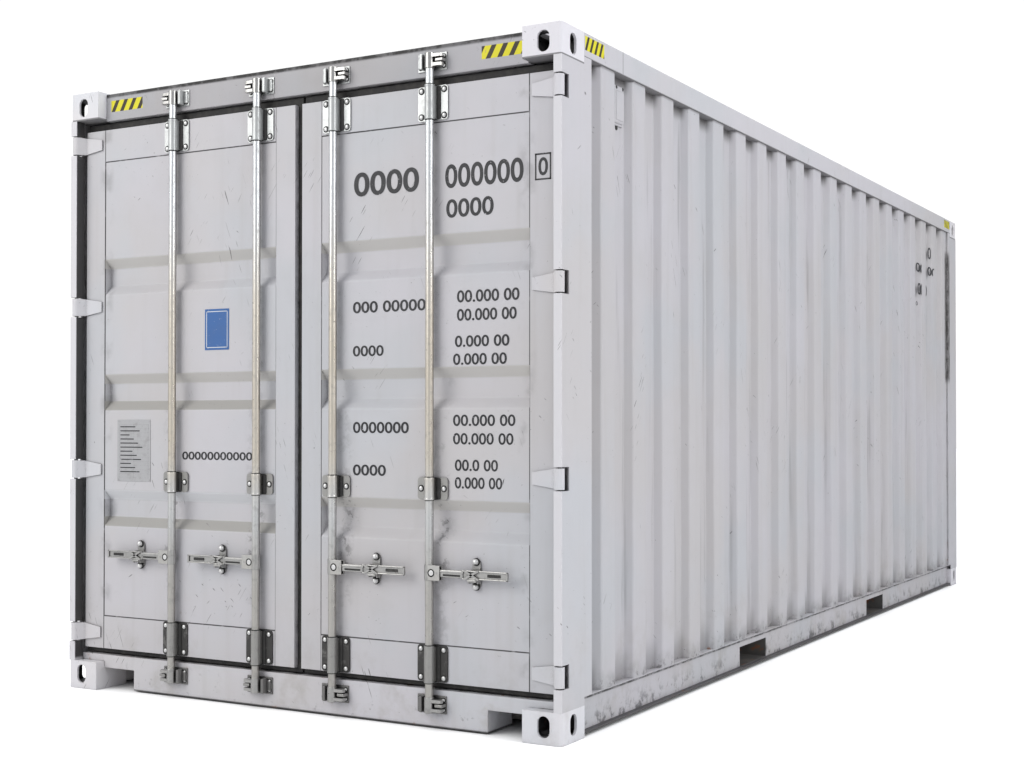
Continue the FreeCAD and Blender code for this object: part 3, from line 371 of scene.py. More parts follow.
def seams_and_painted_shading(look):
    """Dark joint lines where the leaf's sheet meets its frame, with grime drawn out of them, a painted shadow
    beside each bar, and painted light and shade on the folds' flanks.
    """
    leaf_x = abs(look.x)
    reach_up = look.z.near(1.3015, 1.1285, 0.001)
    across = leaf_x.near(STILE_EDGE, 0.0016, 0.0016) | leaf_x.near(0.1150, 0.0010, 0.0014) * 0.7
    level = look.z.near(HEAD_RAIL_FOOT, 0.0016, 0.0018) | look.z.near(FOOT_RAIL_TOP, 0.0016, 0.0018)
    inside = leaf_x.near(0.588, 0.473, 0.001)
    gaps = look.patches(26.0, 3.0, 6.0, 0.25, 0.45)
    outward = look.y.ramp(-2.9760, -2.9780)
    line = (across * reach_up | level * inside) * outward * (0.40 + 0.5 * gaps)
    look.lay(line, SOOT_AND_SHADE)
    stain = leaf_x.near(1.052, 0.010, 0.040) * look.patches(9.0, 4.0, 12.0, 0.50, 0.70)
    beside = (leaf_x - 0.644).near(0.040, 0.004, 0.045) | (leaf_x - 0.192).near(0.040, 0.004, 0.045)
    # Painted shadow, broken by grime patches, in a band just outward of each bar, fading out towards the top.
    bar_shadow_smear = beside * look.patches(14.0, 5.0, 15.0, 0.50, 0.62, 0.75) * look.z.ramp(1.9, 1.0)
    look.lay((stain * 0.28 | bar_shadow_smear * 0.22), GRIME_AND_SHADE)
    fold = look.maths("FRACT", (look.z - 0.705) * (1 / FOLD_PITCH)) * FOLD_PITCH
    folded = inside * outward_of_frame(look) * look.z.ramp(1.90, 1.88) * look.z.ramp(0.690, 0.700)
    head = fold.near(0.136, 0.0195, 0.0015) * folded
    foot = fold.near(0.020, 0.0195, 0.0015) * folded
    left = look.x.ramp(0.0, -0.01)
    lowest = look.z.ramp(1.0, 0.99)
    spots = beside * look.patches(30.0, 5.0, 23.0, 0.54, 0.58, 0.7)
    spots = spots * look.z.ramp(1.00, 0.90) * look.z.ramp(0.56, 0.62)
    # A warm tint on the folds' upper flanks; on the left leaf, painted light on the lowest fold's upper flank
    # and painted shade on the two lowest folds' lower flanks.
    look.lay(head * (1 - left * lowest) * 0.75, FOLD_WARM)
    look.lay(head * left * lowest * 0.80, FOLD_PAINTED_LIGHT)
    look.lay(foot * left * look.z.ramp(1.45, 1.40) * 0.90, FOLD_PAINTED_SHADE)
    look.lay(spots * 0.50, GRIME_AND_SHADE)


def foot_patches(look):
    return 0.35 + 0.65 * look.patches(10.0, 5.0, 3.0, 0.42, 0.6, 0.7)


def blind_grime_and_shade(look):
    """Runs down the blind wall's troughs, dirt along its foot, and painted shade at the troughs' heads under
    the rail.
    """
    deep = look.y.ramp(3.010, 2.985)
    foot = look.z.ramp(0.260, 0.150) * foot_patches(look)
    runs = look.noise(1.0, 4.0, stretch=(30.0, 30.0, 1.3), offset=14.0).ramp(0.50, 0.74)
    # Painted shade at the top of each trough, under the rail.
    shade = look.z.ramp(2.460, 2.500) * deep
    look.lay(foot * 0.55 | runs * (0.10 + 0.25 * deep) | shade * 0.60, GRIME_AND_SHADE)


def roof_grime(look):
    """Dust lying in the roof's troughs, with rain marks running to the sides."""
    deep = look.z.ramp(2.580, 2.568)
    dust = look.patches(3.0, 5.0, 33.0, 0.40, 0.66, 0.7)
    runs = look.noise(1.0, 4.0, stretch=(1.2, 24.0, 1.0), offset=39.0).ramp(0.50, 0.74)
    look.lay(deep * (0.15 + 0.45 * dust) | runs * 0.20, DUST)


def outward_of_frame(look):
    """1 on the pressed sheet and 0 behind the leaf, where the stiles' backs are."""
    return look.y.ramp(-2.9340, -2.9360)


def post_shade(look):
    """Painted shade in the channel between the post's strip and the leaf, and a painted highlight on the
    strip's front.
    """
    # Painted shade: near black on the channel's faces.
    channel = abs(look.x).ramp(1.1885, 1.1862) * look.y.near(-2.990, 0.036, 0.003)
    look.lay(channel * look.z.ramp(0.120, 0.135) * 0.95, SOOT_AND_SHADE)
    # Painted highlight on the strip's front face.
    look.lay(look.y.ramp(-3.0245, -3.0275) * 0.80, PAINT_HIGHLIGHT)


def blind_post_dark_strip(look):
    """A dark blotchy strip beside the last fold of the wall."""
    look.lay(dark_end_strip(look), GRIME_AND_SHADE)


def dark_end_strip(look):
    torn = look.noise(28.0, 5.0, stretch=(1.0, 1.0, 0.35), offset=51.0, rough=0.75)
    strip = look.y.near(2.7800, 0.0560, 0.006) * look.z.near(1.90, 0.42, 0.06)
    return strip * abs(look.x).ramp(1.160, 1.165) * (0.55 + 0.45 * torn.ramp(0.62, 0.42))


def casting_shade(look):
    """Painted shade inside the castings, behind their holes, and along the upper ones' lower edge."""
    cavity = abs(look.x).near(1.138, 0.0702, 0.002) * abs(look.y).near(2.940, 0.0782, 0.002)
    level = look.z.near(0.059, 0.0482, 0.002) | look.z.near(2.532, 0.0482, 0.002)
    foot = look.z.near(2.4752, 0.0028, 0.0016) * 0.70
    look.lay(cavity * level * 0.96 | foot, SOOT_AND_SHADE)


def blade_edges(look):
    """Shaded edges round each hinge blade."""
    look.lay(look.crevice(0.03).ramp(0.22, 0.50) * 0.85, SOOT_AND_SHADE)


def header_marks(look):
    """Hazard stripes at the header's two ends and a dark edge line along its top."""
    along = abs(look.x - 0.0060).near(0.9420, 0.0910, 0.0008)
    zone = along * look.z.near(2.5300, 0.0240, 0.0008) * look.y.ramp(-2.9790, -2.9800)
    stripes(look, zone, 0.050, 0.55)
    uneven = 0.75 + 0.3 * look.noise(20.0, 3.0).ramp(0.35, 0.6)
    edge = look.z.ramp(2.5640, 2.5750) * look.y.ramp(-2.9760, -2.9780) * uneven
    look.lay(edge, BLACK)


def rail_marks(look):
    """Hazard stripes at both ends of a top side rail, a weld line, and painted shade along its lower edge."""
    along = abs(look.y).near(2.7640, 0.0790, 0.0008)
    zone = along * look.z.near(2.5530, 0.0260, 0.0008) * abs(look.x).ramp(1.2175, 1.2182)
    stripes(look, zone, 0.038, 0.45)
    weld = look.y.near(-2.5200, 0.0020, 0.0030) * 0.45
    # Painted shade along the rail's lower edge.
    under = look.z.ramp(2.5060, 2.5020) * 0.7
    look.lay(weld | under, GRIME_AND_SHADE)


def foot_grime_and_shade(look):
    """Black splashes along the rail's lower edge, a dark line at its foot, and painted shade with splashes
    under its shelf.
    """
    splash = look.noise(13.0, 5.0, offset=31.0, rough=0.72)
    low = look.z.ramp(0.110, 0.020)
    blot = splash.ramp(0.50, 0.64) * (0.06 + 0.94 * low)
    line = look.z.near(0.0145, 0.0030, 0.0030) * 0.85
    # Painted shade under the shelf, broken by splashes.
    shelf = look.z.near(0.1385, 0.0065, 0.0050) * (0.30 + 0.6 * splash.ramp(0.40, 0.60))
    look.lay((blot * 0.75 | line) | shelf, SOOT_AND_SHADE)


def sill_grime(look):
    """A dark line along the sill's bottom edge and scuffs from boots and forks."""
    line = look.z.ramp(0.0130, 0.0080)
    scuff = look.patches(18.0, 5.0, 41.0, 0.60, 0.70, 0.7) * look.z.ramp(0.16, 0.03)
    look.lay(line * 0.85 | scuff * 0.45, SOOT_AND_SHADE)


def wall_grime_and_shade(look):
    """Dirt along the foot of every trough and a painted shadow at the head under the rail."""
    deep = abs(look.x).ramp(1.2040, 1.1800)
    foot = look.z.ramp(0.235, 0.150) * foot_patches(look)
    # Painted shadow under the rail, deepest in the troughs.
    head = look.z.ramp(2.4880, 2.5010) * 0.60 | look.z.ramp(2.4300, 2.4950) * deep * 0.85
    streak = look.noise(1.0, 4.0, stretch=(30.0, 30.0, 1.3), offset=14.0).ramp(0.54, 0.74) * deep * 0.30
    corner = deep * look.z.ramp(0.300, 0.160) * 0.45
    blotch = 0.20 + 0.40 * look.patches(6.0, 4.0, 44.0, 0.45, 0.60)
    first = deep * look.y.ramp(-2.720, -2.735) * blotch
    scuff = look.patches(16.0, 5.0, 47.0, 0.52, 0.60, 0.75) * look.z.ramp(0.210, 0.155)
    look.lay(foot * 0.50 | head | streak | corner | first | scuff * 0.70, GRIME_AND_SHADE)
    look.lay(dark_end_strip(look), GRIME_AND_SHADE)


# The last figure in a painted() row lightens or darkens that part's paint against the rest, as painted light
# and shade: the castings and hinges lighter, the header darker.
LOOKS = {
    "frame": painted("frame_paint"),
    "door_post": painted("door_post_paint", 0.9, post_shade, 1.06),
    "blind_post": painted("blind_post_paint", 0.9, blind_post_dark_strip),
    "castings": painted("casting_paint", 0.8, casting_shade, 1.40),
    "vent": painted("vent_paint", 0.9, blade_edges, 1.0),
    "leaf": painted("leaf_paint", 0.9, seams_and_painted_shading, 1.05),
    "wall": painted("wall_paint", 1.0, wall_grime_and_shade, 0.99),
    "blind_wall": painted("blind_wall_paint", 1.0, blind_grime_and_shade),
    "roof": painted("roof_paint", 1.1, roof_grime),
    "header": painted("header_paint", 0.8, header_marks, 0.80),
    "top_rail": painted("top_rail_paint", 0.8, rail_marks, 1.06),
    "bottom_rail": painted("bottom_rail_paint", 1.2, foot_grime_and_shade),
    "sill": painted("sill_paint", 1.1, sill_grime, 1.15),
    "hinge": painted("hinge_paint", 0.6, blade_edges, 1.20),
    "under": underside("underside_paint"),
    "bar": zinc("bar_zinc", base=(0.74, 0.76, 0.765), gilt=0.80, rough=0.19, behind=BAR_Y - 0.002),
    "bracket": zinc("bracket_zinc", base=(0.52, 0.535, 0.53), metallic=0.65, rough=0.30),
    # The next three are darker copies of the bracket zinc for the gear lower down: painted shade.
    "bracket_painted_shade": zinc("bracket_painted_shade_zinc", base=(0.060, 0.058, 0.056), metallic=0.5, rough=0.42, wear=1.0),
    "keeper_painted_shade": zinc("keeper_painted_shade_zinc", base=(0.20, 0.196, 0.19), metallic=0.55, rough=0.36, wear=0.9),
    "sleeve_grey": zinc("sleeve_grey_zinc", base=(0.36, 0.355, 0.34), metallic=0.75, rough=0.26, wear=0.8),
    "bolt": zinc("bolt_zinc", base=(0.72, 0.72, 0.71), metallic=0.7, rough=0.28),
    # Near black for washers, slots, the brackets' right legs and sleeve rings, and the vent's screws: painted
    # shade.
    "recess": zinc("recess_shade", base=(0.035, 0.034, 0.033), metallic=0.1, rough=0.7, wear=0.3),
    "handle": zinc("handle_steel", base=(0.44, 0.435, 0.42), metallic=0.85, rough=0.20, wear=1.0),
    "rubber": rubber("black_rubber"),
    "floor": plywood("floor_ply"),
    "plate": zinc("plate_metal", base=(0.43, 0.43, 0.44), metallic=0.35, rough=0.45),
    "ink": printed("grey_sign_paint", (0.012, 0.012, 0.015)),
    "blue": printed("blue_patch", (0.030, 0.115, 0.330)),
    "white": printed("white_patch", (0.62, 0.64, 0.66)),
}


# -------------------- mesh work

def placed(name, data):
    """A new object in the scene."""
    made = bpy.data.objects.new(name, data)
    bpy.context.scene.collection.objects.link(made)
    return made


def meshed(bm, name):
    """A new mesh from what was being put together."""
    mesh = bpy.data.meshes.new(name)
    bm.to_mesh(mesh)
    bm.free()
    return mesh


def finished(mesh, name, look, body, replaces=()):
    """Makes a mesh a smooth-shaded piece of the model that rides on a body."""
    piece = placed(name, mesh)
    for each in (look if isinstance(look, tuple) else (look,)):
        mesh.materials.append(LOOKS[each])
    mesh.shade_smooth()
    mesh.set_sharp_from_angle(angle=math.radians(38))
    evened = piece.modifiers.new("evened", "WEIGHTED_NORMAL")
    evened.keep_sharp = True
    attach(piece, body)
    if replaces:
        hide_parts(*replaces)
    return piece


def rolled(bm, edges, width, segments):
    bmesh.ops.bevel(bm, geom=edges, offset=width, offset_type="OFFSET", segments=segments, profile=0.5,
                    affect="EDGES", clamp_overlap=True, material=-1)


def softened(node, look, width=0.003, segments=2, merged=True):
    """A CAD node's own shape with its edges rolled over, as paint and mill edges leave them."""
    bm = bmesh.new()
    bm.from_mesh(frame["nodes"][node].data)
    bmesh.ops.remove_doubles(bm, verts=bm.verts, dist=1e-5)
    if merged:
        bmesh.ops.dissolve_limit(bm, angle_limit=math.radians(1.0), verts=bm.verts, edges=bm.edges)
    edges = [edge for edge in bm.edges
             if len(edge.link_faces) == 2 and edge.calc_face_angle(0.0) > math.radians(40)]
    rolled(bm, edges, width, segments)
    body = frame["nodes"][node]["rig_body"]
    finished(meshed(bm, node), node + "_worked", look, body, [node])


class Piece:
    """A mesh being put together from rounded blocks, turned parts and cut outlines."""

    def __init__(self):
        self.bm = bmesh.new()

    def block(self, low, high, roll, material=0, segments=2):
        """A box between two corners with rolled edges."""
        low, high = Vector(low), Vector(high)
        made = bmesh.ops.create_cube(self.bm, size=1.0)["verts"]
        for vert in made:
            for axis in range(3):
                near, far = sorted((low[axis], high[axis]))
                vert.co[axis] = near if vert.co[axis] < 0 else far
        self._roll(made, roll, segments, material)

    def _roll(self, verts, roll, segments, material):
        edges = dict.fromkeys(edge for vert in verts for edge in vert.link_edges)
        faces = {face for vert in verts for face in vert.link_faces}
        for face in faces:
            face.material_index = material
        if roll > 0:
            hard = [edge for edge in edges if edge.calc_face_angle(0.0) > math.radians(30)]
            rolled(self.bm, hard, roll, segments)

    def outline(self, points, depth, place, roll, material=0, segments=2):
        """A flat outline in XY given thickness along Z, then placed by a matrix."""
        low = [self.bm.verts.new(place @ Vector((x, y, 0.0))) for x, y in points]
        high = [self.bm.verts.new(place @ Vector((x, y, depth))) for x, y in points]
        self.bm.faces.new(low[::-1])
        self.bm.faces.new(high)
        count = len(points)
        for index in range(count):
            after = (index + 1) % count
            self.bm.faces.new((low[index], low[after], high[after], high[index]))
        self._roll(low + high, roll, segments, material)

    def turned(self, centre, axis, profile, steps=24, material=0):
        """A turned part: its profile is (along, radius) pairs from one end to the other."""
        turn = Vector(UP).rotation_difference(Vector(axis)).to_matrix().to_4x4()
        place = Matrix.Translation(Vector(centre)) @ turn
        rings = []
        for along, radius in profile:
            if radius < 1e-6:
                rings.append([self.bm.verts.new(place @ Vector((0, 0, along)))])
                continue
            angles = [math.tau * step / steps for step in range(steps)]
            spots = [Vector((radius * math.cos(angle), radius * math.sin(angle), along)) for angle in angles]
            rings.append([self.bm.verts.new(place @ spot) for spot in spots])
        for lower, upper in zip(rings, rings[1:]):
            for step in range(steps):
                after = (step + 1) % steps
                corners = [lower[step % len(lower)], lower[after % len(lower)],
                           upper[after % len(upper)], upper[step % len(upper)]]
                face = self.bm.faces.new(list(dict.fromkeys(corners)))
                face.material_index = material

    def bolt(self, centre, axis, radius, material=0, ring=0):
        """A dark washer with a bright domed head on it."""
        self.turned(centre, axis, [(-0.001, radius * 1.55), (0.0008, radius * 1.55), (0.0012, radius * 1.45),
                                   (0.0012, radius * 0.9)], 20, ring)
        self.turned(centre, axis, [(0.0010, radius), (0.0036, radius * 0.97), (0.0052, radius * 0.74),
                                   (0.0060, radius * 0.35), (0.0061, 0.0)], 20, material)

    def done(self, name, look, body, replaces=()):
        bmesh.ops.recalc_face_normals(self.bm, faces=self.bm.faces)
        finished(meshed(self.bm, name), name, look, body, replaces)


def eased(points, radius, steps=3):
    """A line of (along, out) points with each bend turned into a short arc."""
    line = [Vector(points[0])]
    for before, corner, after in zip(points, points[1:], points[2:]):
        back = (Vector(before) - Vector(corner))
        ahead = (Vector(after) - Vector(corner))
        turn = math.pi - back.angle(ahead)
        reach = min(radius * math.tan(turn / 2), back.length * 0.45, ahead.length * 0.45)
        start = Vector(corner) + back.normalized() * reach
        end = Vector(corner) + ahead.normalized() * reach
        for step in range(steps + 1):
            share = step / steps
            first = start.lerp(Vector(corner), share)
            second = Vector(corner).lerp(end, share)
            line.append(first.lerp(second, share))
    line.append(Vector(points[-1]))
    return line


def sheet_mesh(name, line, length, cuts, turn, dents, seed):
    """Pressed sheet: a folded line swept along its length, with shallow dents.

    turn(along, out, up) gives the point in the frame; out is away from the container."""
    bm = bmesh.new()
    rows = []
    for cut in range(cuts + 1):
        up = length * cut / cuts
        row = []
        for along, out in line:
            wobble = noise.noise(Vector((along * 1.9 + seed, up * 1.7, seed * 3.1)))
            knock = noise.noise(Vector((along * 6.0, up * 5.0 + seed, 7.7)))
            dent = dents * (0.55 * wobble + 0.75 * min(0.0, knock + 0.25))
            ease = min(1.0, 12 * cut / cuts, 12 * (cuts - cut) / cuts)
            row.append(bm.verts.new(turn(along, out + dent * ease, up)))
        rows.append(row)
    for lower, upper in zip(rows, rows[1:]):
        for index in range(len(line) - 1):
            bm.faces.new((lower[index], lower[index + 1], upper[index + 1], upper[index]))
    return meshed(bm, name)


def thickened(mesh, node, ending, look, body, offset):
    """Finishes the sheet that stands for a node, and gives it its thickness before its shading is evened."""
    piece = finished(mesh, node + ending, look, body, [node])
    shell = piece.modifiers.new("sheet_thickness", "SOLIDIFY")
    shell.thickness = SHEET
    shell.offset = offset
    shell.use_even_offset = True
    piece.modifiers.move(len(piece.modifiers) - 1, 0)


def fold_line(starts, ridge, slope, floor, depth, folds):
    """The (along, out) corners of a run of folds that begins mid-ridge, and where the run ends."""
    points = []
    at = starts
    for _ in range(folds):
        points += [(at + ridge / 2, 0.0), (at + ridge / 2 + slope, -depth),
                   (at + ridge / 2 + slope + floor, -depth), (at + ridge / 2 + 2 * slope + floor, 0.0)]
        at += ridge + 2 * slope + floor
    return points, at


# -------------------- walls, roof and doors' sheets

def side_walls():
    ridge, slope, floor, depth, folds, lead = 0.114, 0.020, 0.127, 0.036, 19, 0.155
    for name, side in SIDES:
        node = "side_wall_" + name
        low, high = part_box(node)
        outside = high.x if side > 0 else -low.x
        points, last = fold_line(low.y + lead, ridge, slope, floor, depth, folds)
        first = low.y + lead - ridge / 2
        line = [(low.y, -depth), (first - slope, -depth), (first, 0.0)] + points
        line += [(last + ridge / 2, 0.0), (last + ridge / 2 + slope, -depth), (high.y, -depth)]

        def turn(along, out, up):
            return Vector((side * (outside + out), along, low.z + up))

        mesh = sheet_mesh(node, eased(line, 0.012), high.z - low.z, 28, turn, 0.0035, 5.0 + side)
        thickened(mesh, node, "_sheet", "wall", "container", side)


def blind_wall():
    ridge, slope, floor, depth, folds = 0.110, 0.018, 0.104, 0.046, 8
    low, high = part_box("blind_end_wall")
    run = folds * (ridge + 2 * slope + floor)
    points, _ = fold_line(-run / 2, ridge, slope, floor, depth, folds)
    line = [(low.x, 0.0)] + points + [(high.x, 0.0)]

    def turn(along, out, up):
        return Vector((along, high.y + out, low.z + up))

    mesh = sheet_mesh("blind_end_wall", eased(line, 0.012), high.z - low.z, 28, turn, 0.003, 2.0)
    thickened(mesh, "blind_end_wall", "_sheet", "blind_wall", "container", -1)


def roof():
    ridge, slope, floor, depth, folds = 0.091, 0.014, 0.091, 0.020, 26
    low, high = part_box("roof_sheet")
    run = folds * (ridge + 2 * slope + floor)
    points, _ = fold_line(-run / 2, ridge, slope, floor, depth, folds)
    line = [(low.y, 0.0)] + points + [(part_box("blind_top_rail")[0].y, 0.0)]
    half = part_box("top_side_rail_right")[0].x

    def turn(along, out, up):
        return Vector((up - half, along, high.z + out))

    mesh = sheet_mesh("roof_sheet", eased(line, 0.010), 2 * half, 24, turn, 0.002, 9.0)
    thickened(mesh, "roof_sheet", "_pressed", "roof", "container", 1)


def leaf_frames():
    """Box-section stiles with a head and a foot rail between them."""
    for name, side in SIDES:
        node = "leaf_frame_" + name
        low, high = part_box(node)
        inner, outer = sorted((abs(low.x), abs(high.x)))
        piece = Piece()
        for near, far, bottom, top in (
                (inner, 0.115, low.z, high.z), (STILE_EDGE, outer, low.z, high.z),
                (0.1135, 1.0625, low.z, FOOT_RAIL_TOP), (0.1135, 1.0625, HEAD_RAIL_FOOT, high.z)):
            piece.block((side * near, low.y, bottom), (side * far, high.y, top), 0.0025)
        piece.done(node + "_welded", "leaf", "door_" + name, [node])


def leaf_panels():
    slope, floor, depth, lead = 0.040, 0.076, 0.036, 0.217
    ridge = FOLD_PITCH - 2 * slope - floor
    for name, side in SIDES:
        node = "leaf_panel_" + name
        low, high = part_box(node)
        folds = int((high.z - low.z - lead) / FOLD_PITCH)
        points, _ = fold_line(low.z + lead, ridge, slope, floor, depth, folds)
        line = [(low.z, 0.0)] + points + [(high.z, 0.0)]

        def turn(along, out, up):
            return Vector((low.x + up, low.y - out, along))

        mesh = sheet_mesh(node, eased(line, 0.014, 4), high.x - low.x, 22, turn, 0.0028, 3.0 + side)
        thickened(mesh, node, "_sheet", "leaf", "door_" + name, 1)


# -------------------- door gear

def collar(piece, x, low, foot, head, lip):
    """A short sleeve round a bar, its two edges eased."""
    radius, tall = 0.0190, 0.060
    piece.turned((x, BAR_Y, low), UP, [
        (0.0, 0.0), (0.0, foot), (lip, radius), (tall - lip, radius), (tall, head), (tall, 0.0)], 28, 1)


def cam(piece, x, side, z):
    """A forked cam: a collar with two hooked prongs that reach towards the hinge side."""
    collar(piece, x, z - 0.030, 0.0165, 0.0175, 0.002)
    for lift in (-1, 1):
        outline = [(0.000, -0.012), (0.040, -0.012), (0.053, -0.010), (0.058, -0.003), (0.058, 0.006),
                   (0.050, 0.012), (0.034, 0.010), (0.020, 0.012), (0.000, 0.012)]
        points = [(side * along, out) for along, out in outline]
        if side < 0:
            points.reverse()
        low = z + (0.011 if lift > 0 else -0.023)
        piece.outline(points, 0.012, Matrix.Translation((x, BAR_Y, low)), 0.002, 1)


def locking_bars():
    for name, place, side, out in GEAR:
        node = "locking_bar_%s_%s" % (name, place)
        low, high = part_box(node)
        x = side * out
        piece = Piece()
        line = [(low.z + 0.002, 0.0), (low.z + 0.002, 0.0140), (low.z + 0.005, BAR_RADIUS)]
        steps = 40
        rise = (high.z - low.z - 0.010) / steps
        line += [(low.z + 0.005 + rise * step, BAR_RADIUS) for step in range(1, steps + 1)]
        line += [(high.z - 0.002, 0.0140), (high.z - 0.002, 0.0)]
        piece.turned((x, BAR_Y, 0.0), UP, line, 32)
        cam(piece, x, side, low.z + 0.030)
        cam(piece, x, side, high.z - 0.030)
        clevis(piece, x, side)
        body = "bar_%s_%s" % (name, place)
        piece.done(node + "_turned", ("bar", "handle", "bolt", "recess"), body, [node])


def clevis(piece, x, side):
    """The square cheeks that carry the handle on its pivot, with a sleeve round the bar behind."""
    collar(piece, x, HANDLE_Z - 0.030, 0.0180, 0.0180, 0.0015)
    front = -3.0286
    near, far = x + side * 0.004, x + side * 0.057
    for face, rear, foot, head, roll, material in (
            (front, front + 0.0022, -0.0280, 0.0280, 0.0009, 0),
            (BAR_Y - 0.006, BAR_Y + 0.006, -0.0260, 0.0260, 0.0015, 1),
            (front + 0.0005, BAR_Y, -0.0280, -0.0255, 0.0006, 1),
            (front + 0.0005, BAR_Y, 0.0255, 0.0280, 0.0006, 1)):
        piece.block((near, face, HANDLE_Z + foot), (far, rear, HANDLE_Z + head), roll, material)
    for across, depth, profile, steps, material in (
            # The ring round the hub bolt takes the recess look: painted shade.
            (0.020, front + 0.0012, [(0.0, 0.0155), (0.0012, 0.0152), (0.0012, 0.0090)], 22, 3),
            (0.020, front + 0.0012, [(0.0006, 0.0110), (0.0014, 0.0100), (0.0016, 0.0060), (0.0016, 0.0)],
             22, 2),
            (0.045, front + 0.0012, [(0.0, 0.0050), (0.0014, 0.0044), (0.0015, 0.0)], 14, 1),
            (0.036, BAR_Y - 0.005, [(0.0, 0.0), (0.0, 0.0078), (0.0145, 0.0078), (0.0145, 0.0)], 20, 1)):
        piece.turned((x + side * across, depth, HANDLE_Z), OUT, profile, steps, material)


def handles():
    """A flat shank with an eye, a pressed tray of a grip, and the crossed clip that covers the catch."""
    steel, hollow = 0, 1
    eye = [(0.0, 0.0), (0.0, 0.0155), (0.0080, 0.0155), (0.0095, 0.0140), (0.0095, 0.0)]
    clip = [(-0.034, -0.0042), (0.034, -0.0042), (0.038, 0.0),
            (0.034, 0.0042), (-0.034, 0.0042), (-0.038, 0.0)]
    for name, place, side, out in GEAR:
        node = "handle_%s_%s" % (name, place)
        low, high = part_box(node)
        near = side * out
        back, front = high.y, low.y
        rim = front + 0.006
        piece = Piece()
        for start, end, sunk, rear, foot, head, roll, material, segments in (
                (0.030, 0.160, 0.0018, back, -0.0150, 0.0150, 0.0045, steel, 3),
                (0.030, 0.160, 0.0004, back, 0.0030, 0.0125, 0.0028, steel, 3),
                # The hollow blocks, this groove and the grip's slot below, take the recess look: painted
                # shade.
                (0.070, 0.146, 0.0010, back, -0.0090, -0.0015, 0.0008, hollow, 2),
                (0.150, 0.350, 0.0050, back, -0.0168, 0.0168, 0.0030, steel, 2),
                (0.150, 0.350, 0.0000, rim, -0.0168, -0.0118, 0.0018, steel, 2),
                (0.150, 0.350, 0.0000, rim, 0.0118, 0.0168, 0.0018, steel, 2),
                (0.150, 0.156, 0.0000, rim, -0.0168, 0.0168, 0.0018, steel, 2),
                (0.342, 0.350, 0.0000, rim, -0.0168, 0.0168, 0.0018, steel, 2),
                (0.262, 0.318, 0.0025, rim, -0.0055, 0.0055, 0.0015, hollow, 2)):
            piece.block((near + side * start, front + sunk, HANDLE_Z + foot),
                        (near + side * end, rear, HANDLE_Z + head), roll, material, segments)
        piece.turned((near + side * 0.036, back, HANDLE_Z), OUT, eye, 26)
        for slant in (-0.48, 0.48):
            turn = Matrix.Translation((near + side * 0.194, front - 0.0022, HANDLE_Z))
            turn = turn @ Matrix.Rotation(slant, 4, "Y") @ UPRIGHT.inverted()
            piece.outline(clip, 0.0050, turn, 0.0012)
        body = "grip_%s_%s" % (name, place)
        piece.done(node + "_forged", ("handle", "recess"), body, [node])


def bracket(piece, x, low, high, rows, material, sleeve):
    """A flanged hat bracket with a rimmed sleeve and domed bolts; its right leg, end rings and washers are in
    painted shade.
    """
    head, shade = 2, 3
    half, front, radius = 0.067, GEAR_FACE, 0.012
    tall, middle = high - low, (low + high) / 2
    points = []
    for sx, sz, begin in ((1, 1, 0), (-1, 1, 90), (-1, -1, 180), (1, -1, 270)):
        for step in range(4):
            angle = math.radians(begin + 30 * step)
            points.append((sx * (half - radius) + radius * math.cos(angle),
                           sz * (tall / 2 - radius) + radius * math.sin(angle)))
    place = Matrix.Translation((x, GEAR_BACK, middle)) @ UPRIGHT
    piece.outline(points, GEAR_BACK - front, place, 0.0012, material)
    piece.block((x - 0.0195, BAR_Y, low + 0.004), (x + 0.0195, front + 0.001, high - 0.004), 0.002, sleeve)
    # The right leg takes the recess look: painted shade.
    for side in (-1, 1):
        piece.block((x + side * 0.0185, front - 0.005, low + 0.003),
                    (x + side * 0.036, front + 0.001, high - 0.003), 0.0035, shade if side > 0 else sleeve)
    piece.turned((x, BAR_Y, low), UP, [
        (0.000, 0.0175), (0.000, 0.0196), (0.002, 0.0200), (0.006, 0.0200), (0.008, 0.0188),
        (tall / 2, 0.0187), (tall - 0.008, 0.0188), (tall - 0.006, 0.0200), (tall - 0.002, 0.0200),
        (tall, 0.0196), (tall, 0.0175)], 30, sleeve)
    # Rings at the sleeve's ends in the recess look: painted shade.
    ring = [(0.0, 0.0160), (0.0, 0.0178), (0.0035, 0.0178), (0.0035, 0.0160)]
    for end in (low - 0.0035, high):
        piece.turned((x, BAR_Y, end), UP, ring, 28, shade)
    for side in (-1, 1):
        for row in range(rows):
            z = middle if rows == 1 else low + 0.016 + (tall - 0.032) * row
            piece.bolt((x + side * 0.051, front, z), OUT, 0.0085, head, shade)


def rod_brackets():
    bright, painted_shade, grey, pale = 0, 1, 4, 5
    looks = ("bracket", "bracket_painted_shade", "bolt", "recess", "sleeve_grey", "bar")
    for name, side in SIDES:
        node = "rod_brackets_" + name
        low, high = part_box(node)
        piece = Piece()
        for place, out in BARS:
            x = side * out
            bracket(piece, x, high.z - 0.131, high.z, 2, bright, bright)
            # The middle and lower brackets take darker copies of the zinc: painted shade.
            bracket(piece, x, 0.862, 0.946, 1, grey, pale)
            bracket(piece, x, low.z, low.z + 0.138, 2, painted_shade, grey)
        piece.done(node + "_pressed", looks, "door_" + name, [node])


